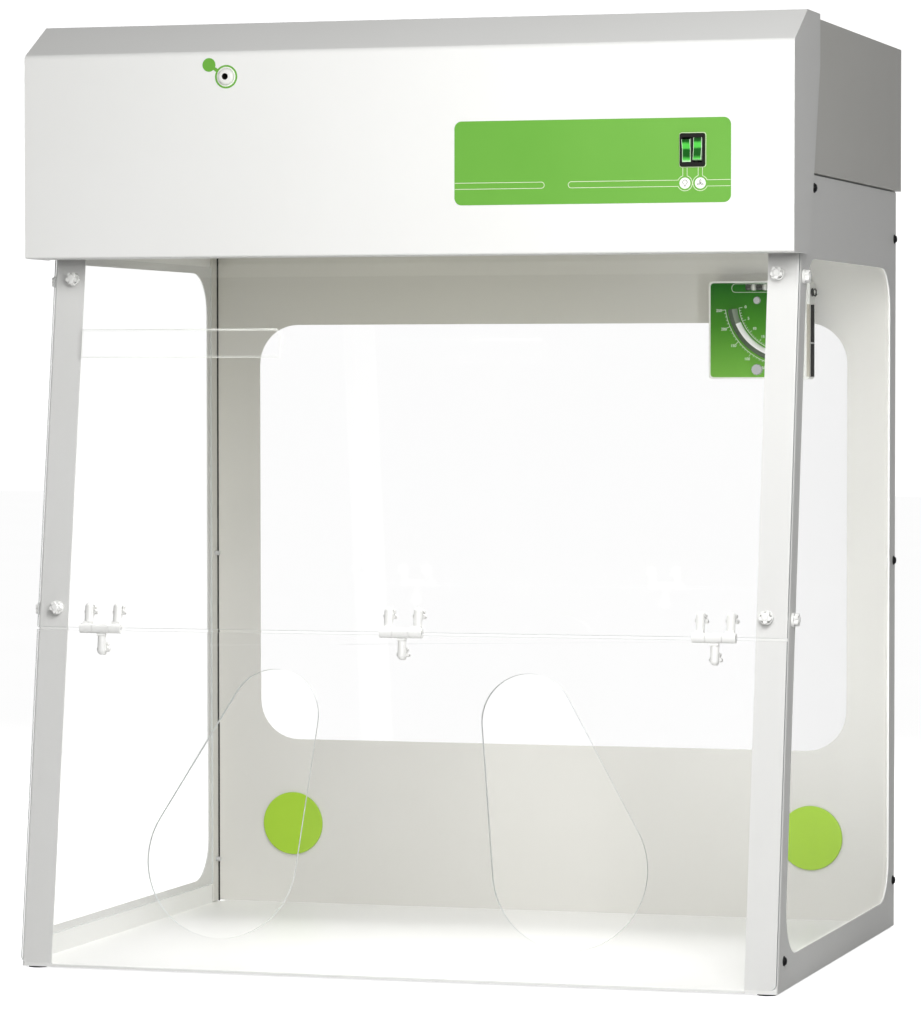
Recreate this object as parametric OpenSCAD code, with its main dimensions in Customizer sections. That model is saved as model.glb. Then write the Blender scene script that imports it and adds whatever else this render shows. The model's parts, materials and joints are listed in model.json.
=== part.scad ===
// Ductless bench fume hood: a bent-sheet cabinet with glazed sides and back, a tilted two-piece
// clear front with hand holes, and a head that holds the filters, the blower and the controls.
// Millimetres. +X is the user's right, +Y goes back, +Z goes up from the bench.

/* [Cabinet] */
// Width over the two side frames
cabinet_w = 800; // [700:1:1000]
// Depth of the side frames at the foot
cabinet_d = 606; // [560:1:700]
// Height of the side frames
side_h = 815; // [780:1:900]
// Thickness of the bent sheet
sheet_t = 1.5; // [1:0.1:2.5]
// Lean of the front away from upright, in degrees
sash_tilt = 8.1; // [5:0.1:10]
// Width of each front post
post_w = 33; // [28:0.5:42]
// Width of the flanges folded inwards along the top and foot of a side frame
flange_w = 20; // [16:0.5:26]
// Outside radius of the bend between a front post and its side
post_bend_r = 3; // [2:0.1:4]

/* [Side windows] */
// Side frame left in front of the window
window_front = 30; // [26:0.5:40]
// Side frame left behind the window
window_rear = 32; // [30:0.5:44]
// Side frame left under the window
window_foot = 32; // [26:0.5:45]
// Side frame left above the window
window_head = 85; // [80:0.5:110]
// Corner radius of the side windows
window_r = 46; // [20:1:60]
// Thickness of the side and rear glazing
glazing_t = 3; // [2:0.5:5]
// How far the glazing laps the frame round a window
glazing_lap = 8; // [5:0.5:9]

/* [Foot and tray] */
// Diameter of a rubber foot pad
foot_d = 20; // [14:0.5:22]
// Height of a rubber foot pad
foot_h = 2; // [1:0.5:6]
// Centre of a foot pad in from the side, front and back
foot_inset = 13; // [12:0.5:18]
// Tray edge in from the side frames
tray_inset = 10; // [4:0.5:14]

/* [Rear panel] */
// Rear window in from the outside of the side frames
rear_window_side = 55.5; // [45:0.5:150]
// Rear panel left under the window
rear_window_foot = 192.5; // [170:0.5:300]
// Rear panel left above the window
rear_window_head = 143.5; // [125:0.5:300]
// Corner radius of the rear window
rear_window_r = 46; // [20:1:60]
// Cable ports in from the outside of the side frames
port_inset = 95.5; // [60:0.5:200]
// Cable ports above the foot
port_up = 95; // [60:0.5:120]
// Diameter of a cable port's hole
port_hole_d = 50; // [30:0.5:60]
// Diameter of a port cap's disc
cap_d = 72; // [64:0.5:80]
// Thickness of a port cap's disc
cap_t = 2.5; // [1.5:0.1:4]
// Length of the cap's spigot behind the disc
spigot_l = 12; // [8:0.5:20]
// Wall of the cap's spigot
spigot_wall = 2.2; // [1.5:0.1:4]
// Gap round the spigot in its hole
spigot_gap = 0.4; // [0.2:0.05:1]

/* [Front panes] */
// Thickness of the front panes
pane_t = 5; // [4:0.5:8]
// Gap between the panes and the posts
pane_gap = 0.4; // [0.2:0.1:1]
// Pane edges in from the outside of the posts
pane_inset = 0.5; // [0.5:0.5:8]
// Height of the line between the two panes, along the slope
split_v = 351.5; // [320:0.5:380]
// Open gap between the two panes
split_gap = 3; // [2:0.5:6]
// Foot of the lower pane above the foot of the posts, along the slope
pane_foot_v = 4; // [2:0.5:12]
// Top of the upper pane below the top of the posts, along the slope
pane_drop = 71.2; // [60:0.2:80]
// Hand holes: upper lobe to each side of the middle
hand_top_x = 135; // [115:0.5:160]
// Hand holes: upper lobe below the line between the panes, along the slope
hand_top_drop = 86.5; // [70:0.5:120]
// Hand holes: radius of the upper lobe
hand_top_r = 48; // [36:0.5:54]
// Hand holes: lower lobe to each side of the middle
hand_foot_x = 184.7; // [160:0.1:210]
// Hand holes: lower lobe above the foot of the pane, along the slope
hand_foot_up = 112; // [100:0.5:140]
// Hand holes: radius of the lower lobe
hand_foot_r = 80.5; // [60:0.5:90]

/* [Pane hinges] */
// Outer hinges in from the outside of the posts
hinge_inset = 73.5; // [64:0.5:150]
// Length of a hinge barrel
barrel_l = 45; // [36:0.5:60]
// Diameter of a hinge barrel
barrel_d = 10; // [8:0.5:14]
// Length of the middle knuckle
knuckle_l = 17; // [12:0.5:20]
// Diameter of a hinge pin
hinge_pin_d = 4; // [3:0.1:5]
// Reach of a hinge finger from the barrel's axis
finger_l = 27; // [22:0.5:36]
// Width of a hinge finger
finger_w = 9; // [7:0.5:11]
// Diameter of the stud moulded into a finger
finger_stud_d = 4; // [3:0.1:5]
// Diameter of the star nuts behind the panes
star_nut_d = 14; // [10:0.5:18]
// Thickness of the star nuts
star_nut_h = 6; // [4:0.5:9]

/* [Star knobs] */
// Diameter of a star knob's collar
knob_d = 14.3; // [12:0.1:18]
// Height of a star knob
knob_h = 8; // [6:0.5:15]
// Height of a star knob's collar
collar_h = 2.6; // [2:0.1:4]
// How far a star knob's collar stands out past its lobes
star_step = 0.5; // [0.2:0.1:1]
// Diameter of a knob's threaded stud
knob_stud_d = 4; // [3:0.1:6]
// Front knobs in from the outside of the posts
front_knob_inset = 22; // [16:0.5:24]
// Side knobs behind the front edge of the side frames
side_knob_inset = 13; // [11:0.5:15]
// Lower knobs above the line between the panes, along the slope
low_knob_rise = 21.5; // [18:0.5:60]
// Upper knobs below the top of the posts, along the slope
high_knob_drop = 103.2; // [92:0.2:140]
// Diameter of the captive nuts behind the knobs
captive_nut_d = 9; // [8:0.5:12]
// Thickness of the captive nuts
captive_nut_h = 5; // [3:0.5:8]

/* [Head] */
// Front of the ceiling and of the cover behind the top of the posts
head_set = 6; // [4:0.5:12]
// Thickness of the blower deck
deck_t = 2; // [1.5:0.5:4]
// Height of the top cover
cover_h = 157.5; // [150:0.5:220]
// How far the cover stands out past each side frame
cover_proud = 2; // [0.5:0.5:4]
// How far the cover runs back past the side frames
cover_overhang = 19.5; // [10:0.5:40]
// Length of an exhaust slot
slot_l = 46; // [20:1:50]
// Width of an exhaust slot
slot_w = 8; // [5:0.5:9]
// Middle of the exhaust slots behind the blower's axis
slot_back = 60; // [30:1:80]
// Pitch of the exhaust slots along the width
slot_pitch_x = 56; // [54:1:70]
// Pitch of the exhaust slots along the depth
slot_pitch_y = 18; // [14:1:24]
// Exhaust slots across the width
slot_cols = 7; // [3:1:9]
// Exhaust slots along the depth
slot_rows = 11; // [4:1:14]

/* [Fascia] */
// How far the fascia stands out past each side frame
fascia_proud = 8; // [7:0.5:20]
// How far the fascia hangs below the top of the side frames
fascia_hang = 81.5; // [60:0.5:90]
// Gap between the fascia's lip and the panes
fascia_gap = 18; // [10:0.5:40]
// Rise of the sloped band along the top
chamfer_rise = 34.5; // [20:0.5:50]
// Depth of the sloped band along the top
chamfer_run = 62; // [40:0.5:75]
// Depth of the flat top behind the sloped band
fascia_flat = 61; // [50:0.5:80]
// Depth of each side return at its foot
return_foot = 74; // [60:0.5:80]
// Height of the upright part of the return's rear edge
return_upright = 52; // [30:0.5:80]
// Depth of the lip folded back along the foot
fascia_lip = 46; // [20:0.5:48]
// Outside radius of the fascia's long bends
fascia_bend_r = 7; // [3:0.5:12]
// Gap between the cover and the leaf under the fascia's top
lift_gap = 0.3; // [0.2:0.05:0.6]

/* [Fascia hinges] */
// Fascia hinges to each side of the middle
lift_hinge_x = 270; // [150:1:330]
// Length of a fascia hinge
lift_hinge_l = 70; // [50:1:100]
// Diameter of a fascia hinge's knuckles
lift_knuckle_d = 6; // [5:0.2:8]
// Diameter of a fascia hinge's pin
lift_pin_d = 3; // [2:0.1:4]
// Depth of a fascia hinge's leaf
lift_leaf = 24; // [16:0.5:34]
// Thickness of a fascia hinge's leaf
lift_leaf_t = 1.2; // [1:0.1:1.5]

/* [Controls] */
// Middle of the control label to the right of the middle
label_x = 201; // [150:0.5:230]
// Middle of the control label above the fascia's foot
label_up = 92; // [70:0.5:120]
// Width of the control label
label_w = 286; // [270:0.5:300]
// Height of the control label
label_h = 84.5; // [74:0.5:100]
// Corner radius of the control label
label_r = 7.5; // [2:0.5:12]
// Thickness of the labels
label_t = 0.4; // [0.2:0.1:0.8]
// Middle of the switch in from the label's right edge
switch_in = 39; // [30:0.5:60]
// Middle of the switch above the label's middle
switch_rise = 10; // [4:0.5:14]
// Wall of the switch's body beside its rockers
switch_wall = 0.5; // [0.4:0.1:2]
// Gap between the two rockers
rocker_gap = 2.8; // [2:0.1:5]
// Height of the switch's bezel
switch_h = 33; // [30:0.5:40]
// Rim of the bezel round its body
switch_rim = 2; // [1.5:0.1:3]
// How far the bezel stands out of the label
bezel_t = 2.5; // [1.5:0.1:4]
// Depth of the switch's body behind the fascia
switch_depth = 18; // [14:0.5:26]
// Width of a rocker
rocker_w = 8.6; // [7:0.1:9]
// Height of a rocker
rocker_h = 22.5; // [20:0.5:24]
// Tilt of a rocker at each end of its throw, in degrees
rocker_tilt = 9; // [6:0.5:12]
// Diameter of the pin that the rockers turn on
rocker_pin_d = 2.4; // [2:0.1:3]

/* [Sampling port] */
// Sampling port to the left of the middle
sample_x = 186; // [120:0.5:260]
// Sampling port below the top edge of the upright front
sample_drop = 25; // [22:0.5:60]
// Diameter of the port's boss
sample_d = 17; // [14:0.5:20]
// How far the boss stands out
sample_proud = 4; // [2:0.5:8]
// Diameter of the port's bore
sample_bore_d = 6; // [4:0.5:8]
// Length of the port's threaded tail behind the fascia
sample_tail = 18; // [12:0.5:30]
// Diameter of the port's threaded tail
sample_tail_d = 11; // [10:0.5:12]
// Outside diameter of the port's ring label
ring_d = 24; // [22:0.5:28]
// Diameter of the small tab on the ring label
tab_d = 14; // [10:0.5:16]
// Tab to the left of the port
tab_x = 18.6; // [16:0.1:22]
// Tab above the port
tab_up = 12.4; // [8:0.1:14]

/* [Filters] */
// Width of the filter cassette
filter_w = 560; // [400:1:640]
// Gap from the top of the posts back to the filters
filter_front = 44; // [36:0.5:100]
// Gap from the filters back to the rear panel
filter_rear = 44.5; // [30:0.5:100]
// Gap between the filter cassette and the deck above it
filter_gap = 4.5; // [2:0.5:12]
// Height of the filter cassette
filter_h = 42; // [30:0.5:44]
// Wall of the filter cassette
filter_wall = 14; // [8:0.5:25]
// Thickness of the prefilter pad
prefilter_t = 9; // [5:0.5:10]
// Grille openings across the ceiling
grille_cols = 8; // [4:1:10]
// Grille openings along the ceiling's depth
grille_rows = 6; // [3:1:8]
// Bars between the grille's openings
grille_bar = 8; // [5:0.5:14]

/* [Blower] */
// Diameter of the impeller
impeller_d = 240; // [200:1:260]
// Height of the impeller
impeller_h = 58; // [40:0.5:62]
// Diameter of the impeller's eye
eye_d = 168; // [150:1:172]
// Blades on the impeller
blade_n = 9; // [5:1:12]
// Thickness of the impeller's plates and blades
blade_t = 2.5; // [1.5:0.1:4]
// Height of the inlet ring above the deck
ring_h = 28; // [20:0.5:32]
// Running gaps round the impeller
blower_gap = 4; // [3:0.5:6]
// Diameter of the motor
motor_d = 100; // [80:1:120]
// Height of the motor
motor_h = 34; // [24:0.5:38]
// Diameter of the motor's shaft
shaft_d = 12; // [8:0.5:16]
// Distance between the motor bridge's legs
bridge_span = 320; // [300:1:360]
// Width of the motor bridge
bridge_w = 70; // [50:1:100]

/* [Lamp] */
// Length of the lamp
lamp_l = 560; // [400:1:700]
// Depth of the lamp
lamp_d = 36; // [26:0.5:40]
// Height of the lamp's housing
lamp_h = 9; // [7:0.5:10]
// Thickness of the lamp's diffuser
diffuser_t = 3; // [2:0.5:4]

/* [Electrics] */
// Driver box to the right of the middle
driver_x = 250; // [230:1:290]
// Width of the driver box
driver_w = 120; // [80:1:140]
// Depth of the driver box
driver_d = 70; // [50:1:90]
// Height of the driver box
driver_h = 45; // [30:0.5:60]
// Power inlet above the foot of the cover
inlet_up = 42; // [30:0.5:90]
// Width of the power inlet's flange
inlet_w = 50; // [44:0.5:60]
// Height of the power inlet's flange
inlet_h = 28; // [25:0.5:36]
// Thickness of the power inlet's flange
inlet_t = 2.5; // [1.5:0.1:4]
// Depth of the power inlet's body
inlet_depth = 24; // [22:0.5:34]
// Diameter of the inside leads
lead_d = 6; // [4:0.5:8]

/* [Gauge] */
// Middle of the gauge in from the outside of the right side frame
gauge_inset = 149; // [130:0.5:220]
// Middle of the gauge below the top of the side frames
gauge_drop = 152; // [147:0.5:162]
// Width of the gauge
gauge_w = 113; // [100:0.5:130]
// Height of the gauge
gauge_h = 109; // [90:0.5:115]
// Depth of the gauge's body
gauge_d = 24; // [20:0.5:34]
// Thickness of the gauge's face plate
gauge_plate_t = 3; // [2:0.5:5]
// Corner radius of the gauge
gauge_r = 4; // [2:0.5:8]
// Radius of the curved tube's middle line
tube_r = 63.5; // [50:0.5:66]
// Diameter of the curved tube
tube_d = 11; // [8:0.5:13]
// Length of the level vial
vial_l = 30; // [20:0.5:36]
// Diameter of the level vial
vial_d = 7; // [5:0.5:8]
// Diameter of the gauge's zero knob
zero_d = 11; // [8:0.5:13]
// Height of the gauge's zero knob
zero_h = 9; // [6:0.5:12]
// Diameter of the gauge's hose barbs
barb_d = 6; // [4:0.5:7]
// Length of the gauge's hose barbs
barb_l = 4; // [3:0.5:14]

/* [Fasteners] */
// Diameter of the frame screws' heads
screw_head_d = 10; // [8:0.5:12]
// Height of the frame screws' heads
screw_head_h = 3; // [2:0.1:4]
// Diameter of the frame screws' shanks
screw_d = 5; // [4:0.1:6]
// Length of the frame screws' shanks
screw_l = 8; // [6:0.5:14]
// Frame screws in from the rear edge
screw_rear = 9; // [8:0.5:10]
// Frame screws in from the foot, and in from the front edge at the foot
screw_foot = 30; // [26:0.5:34]
// Top and bottom screws of the rear edge, in from its ends
screw_end = 51.5; // [40:0.5:80]
// Screw at the head, behind the top of the posts
screw_back = 51; // [40:0.5:70]
// Screw at the head, below the top of the side frames
screw_drop = 13; // [10:0.5:20]

/* [Fits] */
// Gap between faces of pieces that move past each other
clear = 0.3; // [0.2:0.05:0.6]
// Gap between neighbouring sheets of the cabinet
sheet_gap = 0.3; // [0.1:0.05:0.6]
// Radial running clearance of a pin or shaft in its bore
run_fit = 0.05; // [0.02:0.01:0.1]
// Radial clearance of a screw or stud in its hole
hole_fit = 0.25; // [0.1:0.05:0.5]

/* [Hidden] */
$fn = 48;

half_w = cabinet_w / 2;
lean = tan(sash_tilt);
side_top_y = side_h * lean;
post_l = side_h / cos(sash_tilt);
rear_in = cabinet_d - sheet_t;
rear_window_w = cabinet_w - 2 * rear_window_side;
rear_window_h = side_h - rear_window_foot - rear_window_head;
rear_window_up = rear_window_foot + rear_window_h / 2;
port_x = half_w - port_inset;
deck_top = side_h + deck_t;
cover_top = deck_top + cover_h;
cover_rear = cabinet_d + cover_overhang;
cover_half = half_w + cover_proud;
cover_front = side_top_y + head_set;
inlet_rear = cover_rear + inlet_t;
pane_front = -(pane_gap + pane_t);
pane_top_v = post_l - pane_drop;
hand_top_v = split_v - hand_top_drop;
hand_foot_v = pane_foot_v + hand_foot_up;
low_knob_v = split_v + low_knob_rise;
high_knob_v = post_l - high_knob_drop;
fascia_w = cabinet_w + 2 * fascia_proud;
fascia_top = cover_top + lift_gap + lift_leaf_t + sheet_t;
fascia_foot = side_h - fascia_hang;
fascia_y = fascia_foot * lean + pane_front / cos(sash_tilt) - fascia_gap - fascia_lip;
fascia_rear = fascia_y + chamfer_run + fascia_flat;
sample_up = fascia_top - chamfer_rise - fascia_foot - sample_drop;
barrel_y = pane_front - barrel_d / 2 - 0.2;
front_y = pane_foot_v * sin(sash_tilt) + pane_front * cos(sash_tilt);
middle_y = (front_y + inlet_rear) / 2;
hinge_x = half_w - hinge_inset;
hinge_places = [-hinge_x, 0, hinge_x];
front_knob_x = half_w - front_knob_inset;
filter_d = rear_in - filter_rear - side_top_y - filter_front;
blower_y = side_top_y + filter_front + filter_d / 2;
ceiling_up = side_h - filter_gap - filter_h - prefilter_t - sheet_t;
filter_z = ceiling_up + sheet_t;
cassette_z = filter_z + prefilter_t;
impeller_z = deck_top + ring_h + blower_gap;
motor_z = impeller_z + impeller_h + blower_gap;
bridge_z = motor_z + motor_h;
lift_axis_y = fascia_rear + lift_knuckle_d / 2 + clear + 0.5;
lift_axis_z = cover_top + lift_knuckle_d / 2 + lift_gap;
rocker_cell = rocker_w + 2 * clear;
rocker_x = (rocker_w + rocker_gap) / 2;
switch_w = 2 * rocker_x + rocker_cell + 2 * switch_wall + 2 * switch_rim;
switch_x = label_x + label_w / 2 - switch_in;
switch_z = fascia_foot + label_up + switch_rise;
rocker_axis_y = fascia_y + 1;
gauge_x = half_w - gauge_inset;
gauge_up = side_h - gauge_drop;
gauge_front = rear_in - gauge_d;
gauge_face = gauge_front - gauge_plate_t;

// Unit vector
function unit(v) = v / norm(v);

// Points of a circular arc
function arc(c, r, a0, a1, n) = [for (i = [0:n]) c + r * [cos(a0 + (a1 - a0) * i / n), sin(a0 + (a1 - a0) * i / n)]];

// The shortest way round from one angle to another
function turn(a) = a > 180 ? a - 360 : a < -180 ? a + 360 : a;

// One corner of an outline as an arc of radius r
function fillet(p0, p1, p2, r, n) =
    r <= 0 ? [p1] :
    let (u = unit(p0 - p1), w = unit(p2 - p1), half = acos(u * w) / 2,
         c = p1 + unit(u + w) * r / sin(half), s = p1 + u * r / tan(half) - c, e = p1 + w * r / tan(half) - c,
         a0 = atan2(s[1], s[0]), a1 = a0 + turn(atan2(e[1], e[0]) - a0))
    arc(c, r, a0, a1, n);

// A closed outline with rounded corners
function rounded(pts, r, n = 10) =
    [for (i = [0:len(pts) - 1])
        each fillet(pts[(i + len(pts) - 1) % len(pts)], pts[i], pts[(i + 1) % len(pts)], r[i], n)];

// An open path with rounded inner corners
function rounded_path(pts, r, n = 8) =
    [for (i = [0:len(pts) - 1])
        each i == 0 || i == len(pts) - 1 ? [pts[i]] : fillet(pts[i - 1], pts[i], pts[i + 1], r[i], n)];

// The same open path, moved sideways by d
function beside(pts, d) =
    [for (i = [0:len(pts) - 1])
        let (a = unit(pts[max(i, 1)] - pts[max(i, 1) - 1]), k = min(i, len(pts) - 2),
             b = unit(pts[k + 1] - pts[k]), na = [-a[1], a[0]], nb = [-b[1], b[0]])
        pts[i] + d * (na + nb) / (1 + na * nb)];

// A rectangle about its middle with rounded corners
function soft_rect(w, h, r) = rounded([[-w / 2, -h / 2], [w / 2, -h / 2], [w / 2, h / 2], [-w / 2, h / 2]], [r, r, r, r]);

function reverse(v) = [for (i = [len(v) - 1:-1:0]) v[i]];

// Two round lobes joined by their common tangents
function pear(c0, r0, c1, r1) =
    let (d = c1 - c0, along = atan2(d[1], d[0]), k = acos((r0 - r1) / norm(d)))
    concat(arc(c1, r1, along - k, along + k, 32), arc(c0, r0, along + k, along + 360 - k, 48));

// Stands everything on the foot pads, with the origin under the middle of the hood
module stand() {
    translate([0, -middle_y, foot_h])
        children();
}

// The leaning front: x to the right, y back from the posts' face, z up the slope
module on_front() {
    stand()
        rotate([-sash_tilt, 0, 0])
            children();
}

// The same piece on the left
module on_side(side) {
    mirror([side < 0 ? 1 : 0, 0, 0])
        children();
}

// An outline in depth and height, as a plate that runs from x0 to x1
module plate_x(x0, x1) {
    translate([x0, 0, 0])
        rotate([90, 0, 90])
            linear_extrude(x1 - x0)
                children();
}

// An outline in width and height, as a plate that runs from y0 back to y1
module plate_y(y0, y1) {
    translate([0, y1, 0])
        rotate([90, 0, 0])
            linear_extrude(y1 - y0)
                children();
}

// A box between two corners
module block(lo, hi) {
    translate(lo)
        cube(hi - lo);
}

// A round bar along x, y or z from a start point
module bar_x(p, d, l) {
    translate(p)
        rotate([0, 90, 0])
            cylinder(d = d, h = l);
}

module bar_y(p, d, l) {
    translate(p)
        rotate([-90, 0, 0])
            cylinder(d = d, h = l);
}

module bar_z(p, d, l) {
    translate(p)
        cylinder(d = d, h = l);
}

// A tube of eight sides along a list of points
module lead(points, d) {
    n = len(points);
    up = [0.36, 0.48, 0.8];
    ring = [for (i = [0:n - 1])
        let (t = unit(points[min(i + 1, n - 1)] - points[max(i - 1, 0)]),
             u = unit(cross(t, up)), w = cross(t, u))
        each [for (k = [0:7]) points[i] + d / 2 * (cos(45 * k) * u + sin(45 * k) * w)]];
    walls = [for (i = [0:n - 2], k = [0:7])
        [8 * i + k, 8 * i + (k + 1) % 8, 8 * i + 8 + (k + 1) % 8, 8 * i + 8 + k]];
    polyhedron(ring, concat(walls, [[for (k = [7:-1:0]) k], [for (k = [0:7]) 8 * (n - 1) + k]]));
}

// A smooth run from one face to another: straight out of each face, then one curve
function run(p, stub = 6, n = 14) =
    let (a = p[0] + stub * unit(p[1] - p[0]), b = p[3] + stub * unit(p[2] - p[3]))
    concat([p[0]],
        [for (i = [0:n]) let (t = i / n, s = 1 - t)
            s * s * s * a + 3 * s * s * t * p[1] + 3 * s * t * t * p[2] + t * t * t * b],
        [p[3]]);

/* Cabinet */

// Depth and height of each frame screw on a side
function screw_places() = [
    [screw_foot, screw_foot], [cabinet_d - screw_rear, screw_end], [cabinet_d - screw_rear, side_h / 2],
    [cabinet_d - screw_rear, side_h - screw_end], [side_top_y + screw_back, side_h - screw_drop]
];

function window_top() = side_h - window_head;

// Corners of the side window, grown outwards by m
function window_corners(m) = [
    [(window_foot - m) * lean + window_front - m, window_foot - m], [cabinet_d - window_rear + m, window_foot - m],
    [cabinet_d - window_rear + m, window_top() + m], [(window_top() + m) * lean + window_front - m, window_top() + m]
];

module front_knob_holes(d) {
    for (v = [low_knob_v, high_knob_v])
        translate([front_knob_x, -post_w, v])
            rotate([-90, 0, 0])
                cylinder(d = d, h = 2 * post_w);
}

// Depth of a side knob's axis at height v along the slope, and its height
function side_knob_at(v) = [
    v * sin(sash_tilt) + side_knob_inset * cos(sash_tilt), v * cos(sash_tilt) - side_knob_inset * sin(sash_tilt)
];

module side_knob_holes(d) {
    for (v = [low_knob_v, high_knob_v])
        bar_x([half_w - post_w, side_knob_at(v)[0], side_knob_at(v)[1]], d, 2 * post_w);
}

// Front post and the bend into its side, cut level at the foot and at the top
module post_fold(reach) {
    path = [[half_w - post_w, 0], [half_w, 0], [half_w, reach]];
    outside = rounded_path(path, [0, post_bend_r, 0]);
    inside = rounded_path(beside(path, sheet_t), [0, max(post_bend_r - sheet_t, 0.2), 0]);
    intersection() {
        on_front()
            translate([0, 0, -post_w])
                linear_extrude(post_l + 2 * post_w)
                    polygon(concat(outside, reverse(inside)));
        stand()
            block([0, -post_w, 0], [cabinet_w, cabinet_d, side_h]);
    }
}

module side_frame(side) {
    fold = post_bend_r + 1;
    on_side(side)
        difference() {
            union() {
                stand()
                    plate_x(half_w - sheet_t, half_w)
                        difference() {
                            polygon([[fold, 0], [cabinet_d, 0], [cabinet_d, side_h], [side_top_y + fold, side_h]]);
                            polygon(rounded(window_corners(0), [for (i = [0:3]) window_r]));
                        }
                post_fold(fold + 2);
                stand()
                    block([half_w - flange_w, side_top_y + fold, side_h - sheet_t], [half_w, cabinet_d, side_h]);
                stand()
                    block([half_w - flange_w, fold, 0], [half_w, cabinet_d, sheet_t]);
            }
            on_front()
                front_knob_holes(knob_stud_d + 2 * hole_fit);
            stand()
                side_knob_holes(knob_stud_d + 2 * hole_fit);
            stand()
                for (p = screw_places())
                    bar_x([half_w - 5, p[0], p[1]], screw_d + 2 * hole_fit, 10);
        }
}

module left_side_frame() {
    color([0.86, 0.86, 0.85])
        side_frame(-1);
}

module right_side_frame() {
    color([0.86, 0.86, 0.85])
        side_frame(1);
}

// Clear sheet on the inside of a side frame; its front edge runs up behind the post
module side_window(side) {
    front = max(post_bend_r, sheet_t) / cos(sash_tilt) + sheet_gap;
    foot = window_foot - glazing_lap;
    head = window_top() + glazing_lap;
    rear = cabinet_d - window_rear + glazing_lap;
    on_side(side)
        stand()
            difference() {
                plate_x(half_w - sheet_t - glazing_t, half_w - sheet_t)
                    polygon(rounded([[foot * lean + front, foot], [rear, foot], [rear, head],
                        [head * lean + front, head]], [3, 3, 3, 3], 4));
                side_knob_holes(knob_stud_d + 2 * hole_fit);
                for (p = screw_places())
                    bar_x([half_w - 10, p[0], p[1]], screw_d + 2 * hole_fit, 20);
            }
}

module left_side_window() {
    color([0.85, 0.93, 0.95, 0.35])
        side_window(-1);
}

module right_side_window() {
    color([0.85, 0.93, 0.95, 0.35])
        side_window(1);
}

module floor_tray() {
    edge = half_w - sheet_t - tray_inset;
    between = half_w - post_w - sheet_gap;
    skin = sheet_t / cos(sash_tilt) + 2 * sheet_t * lean + sheet_gap;
    color([0.93, 0.93, 0.92])
        stand() {
            block([-edge, skin, sheet_t], [edge, rear_in - sheet_gap, 2 * sheet_t]);
            block([-between, 0, sheet_t], [between, skin + 1, 2 * sheet_t]);
            block([-between, 0, 0], [between, sheet_t, 2 * sheet_t]);
        }
}

module foot_pads() {
    color([0.08, 0.08, 0.08])
        translate([0, -middle_y, 0])
            for (x = [-1, 1], y = [foot_inset, cabinet_d - foot_inset])
                bar_z([x * (half_w - foot_inset), y, 0], foot_d, foot_h);
}

module rear_panel() {
    edge = half_w - sheet_t - sheet_gap;
    color([0.84, 0.83, 0.81])
        stand()
            difference() {
                union() {
                    plate_y(rear_in, cabinet_d)
                        difference() {
                            polygon([[-edge, 2 * sheet_t], [edge, 2 * sheet_t], [edge, side_h - sheet_t - sheet_gap],
                                [-edge, side_h - sheet_t - sheet_gap]]);
                            translate([0, rear_window_up])
                                polygon(soft_rect(rear_window_w, rear_window_h, rear_window_r));
                        }
                    for (s = [-1, 1])
                        on_side(s)
                            block([edge - sheet_t, cabinet_d - flange_w, 2 * sheet_t],
                                [edge, cabinet_d, side_h - sheet_t - sheet_gap]);
                }
                for (s = [-1, 1]) {
                    bar_y([s * port_x, rear_in - 5, port_up], port_hole_d, 10);
                    for (p = screw_places())
                        if (p[0] > cabinet_d / 2)
                            on_side(s)
                                bar_x([edge - 5, p[0], p[1]], screw_d + 2 * hole_fit, 10);
                }
                bar_y([gauge_x + gauge_screw_x, rear_in - 5, gauge_up + gauge_screw_up], screw_d, 10);
            }
}

// Clear sheet bonded to the back of the rear panel
module rear_window() {
    color([0.85, 0.93, 0.95, 0.35])
        stand()
            plate_y(cabinet_d, cabinet_d + glazing_t)
                translate([0, rear_window_up])
                    polygon(soft_rect(rear_window_w + 2 * glazing_lap, rear_window_h + 2 * glazing_lap, rear_window_r));
}

// A button-head screw on the outside of a side frame, with a hexagon socket
module frame_screw(p) {
    translate([half_w, p[0], p[1]])
        rotate([0, 90, 0])
            difference() {
                union() {
                    rotate_extrude()
                        polygon(concat([[0, 0], [screw_head_d / 2, 0], [screw_head_d / 2, screw_head_h * 0.3]],
                            arc([screw_head_d * 0.2, screw_head_h * 0.3], screw_head_h * 0.7, 0, 90, 4),
                            [[0, screw_head_h]]));
                    translate([0, 0, -screw_l])
                        cylinder(d = screw_d, h = screw_l);
                }
                translate([0, 0, screw_head_h * 0.4])
                    cylinder(d = screw_d * 0.7, h = screw_head_h, $fn = 6);
            }
}

module frame_screws(side) {
    color([0.05, 0.05, 0.05])
        on_side(side)
            stand()
                for (p = screw_places())
                    frame_screw(p);
}

module left_frame_screws() {
    frame_screws(-1);
}

module right_frame_screws() {
    frame_screws(1);
}

/* Rear ports */

// Green disc with a hollow spigot that plugs into its hole in the rear panel
module port_cap(side) {
    color([0.65, 0.81, 0.24])
        stand()
            translate([side * port_x, rear_in - clear, port_up])
                rotate([-90, 0, 0]) {
                    translate([0, 0, -cap_t])
                        cylinder(d = cap_d, h = cap_t, $fn = 96);
                    difference() {
                        translate([0, 0, -cap_t / 2])
                            cylinder(d = port_hole_d - 2 * spigot_gap, h = spigot_l + cap_t / 2, $fn = 96);
                        cylinder(d = port_hole_d - 2 * spigot_gap - 2 * spigot_wall, h = spigot_l + 1, $fn = 96);
                    }
                }
}

module left_port_cap() {
    port_cap(-1);
}

module right_port_cap() {
    port_cap(1);
}

/* Front panes */

module finger_studs(fingers, d) {
    for (x = hinge_places, f = fingers)
        translate([x + f[0], 2 * pane_front, split_v + f[1] * finger_stud_v])
            rotate([-90, 0, 0])
                cylinder(d = d, h = 4 * pane_t);
}

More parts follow.
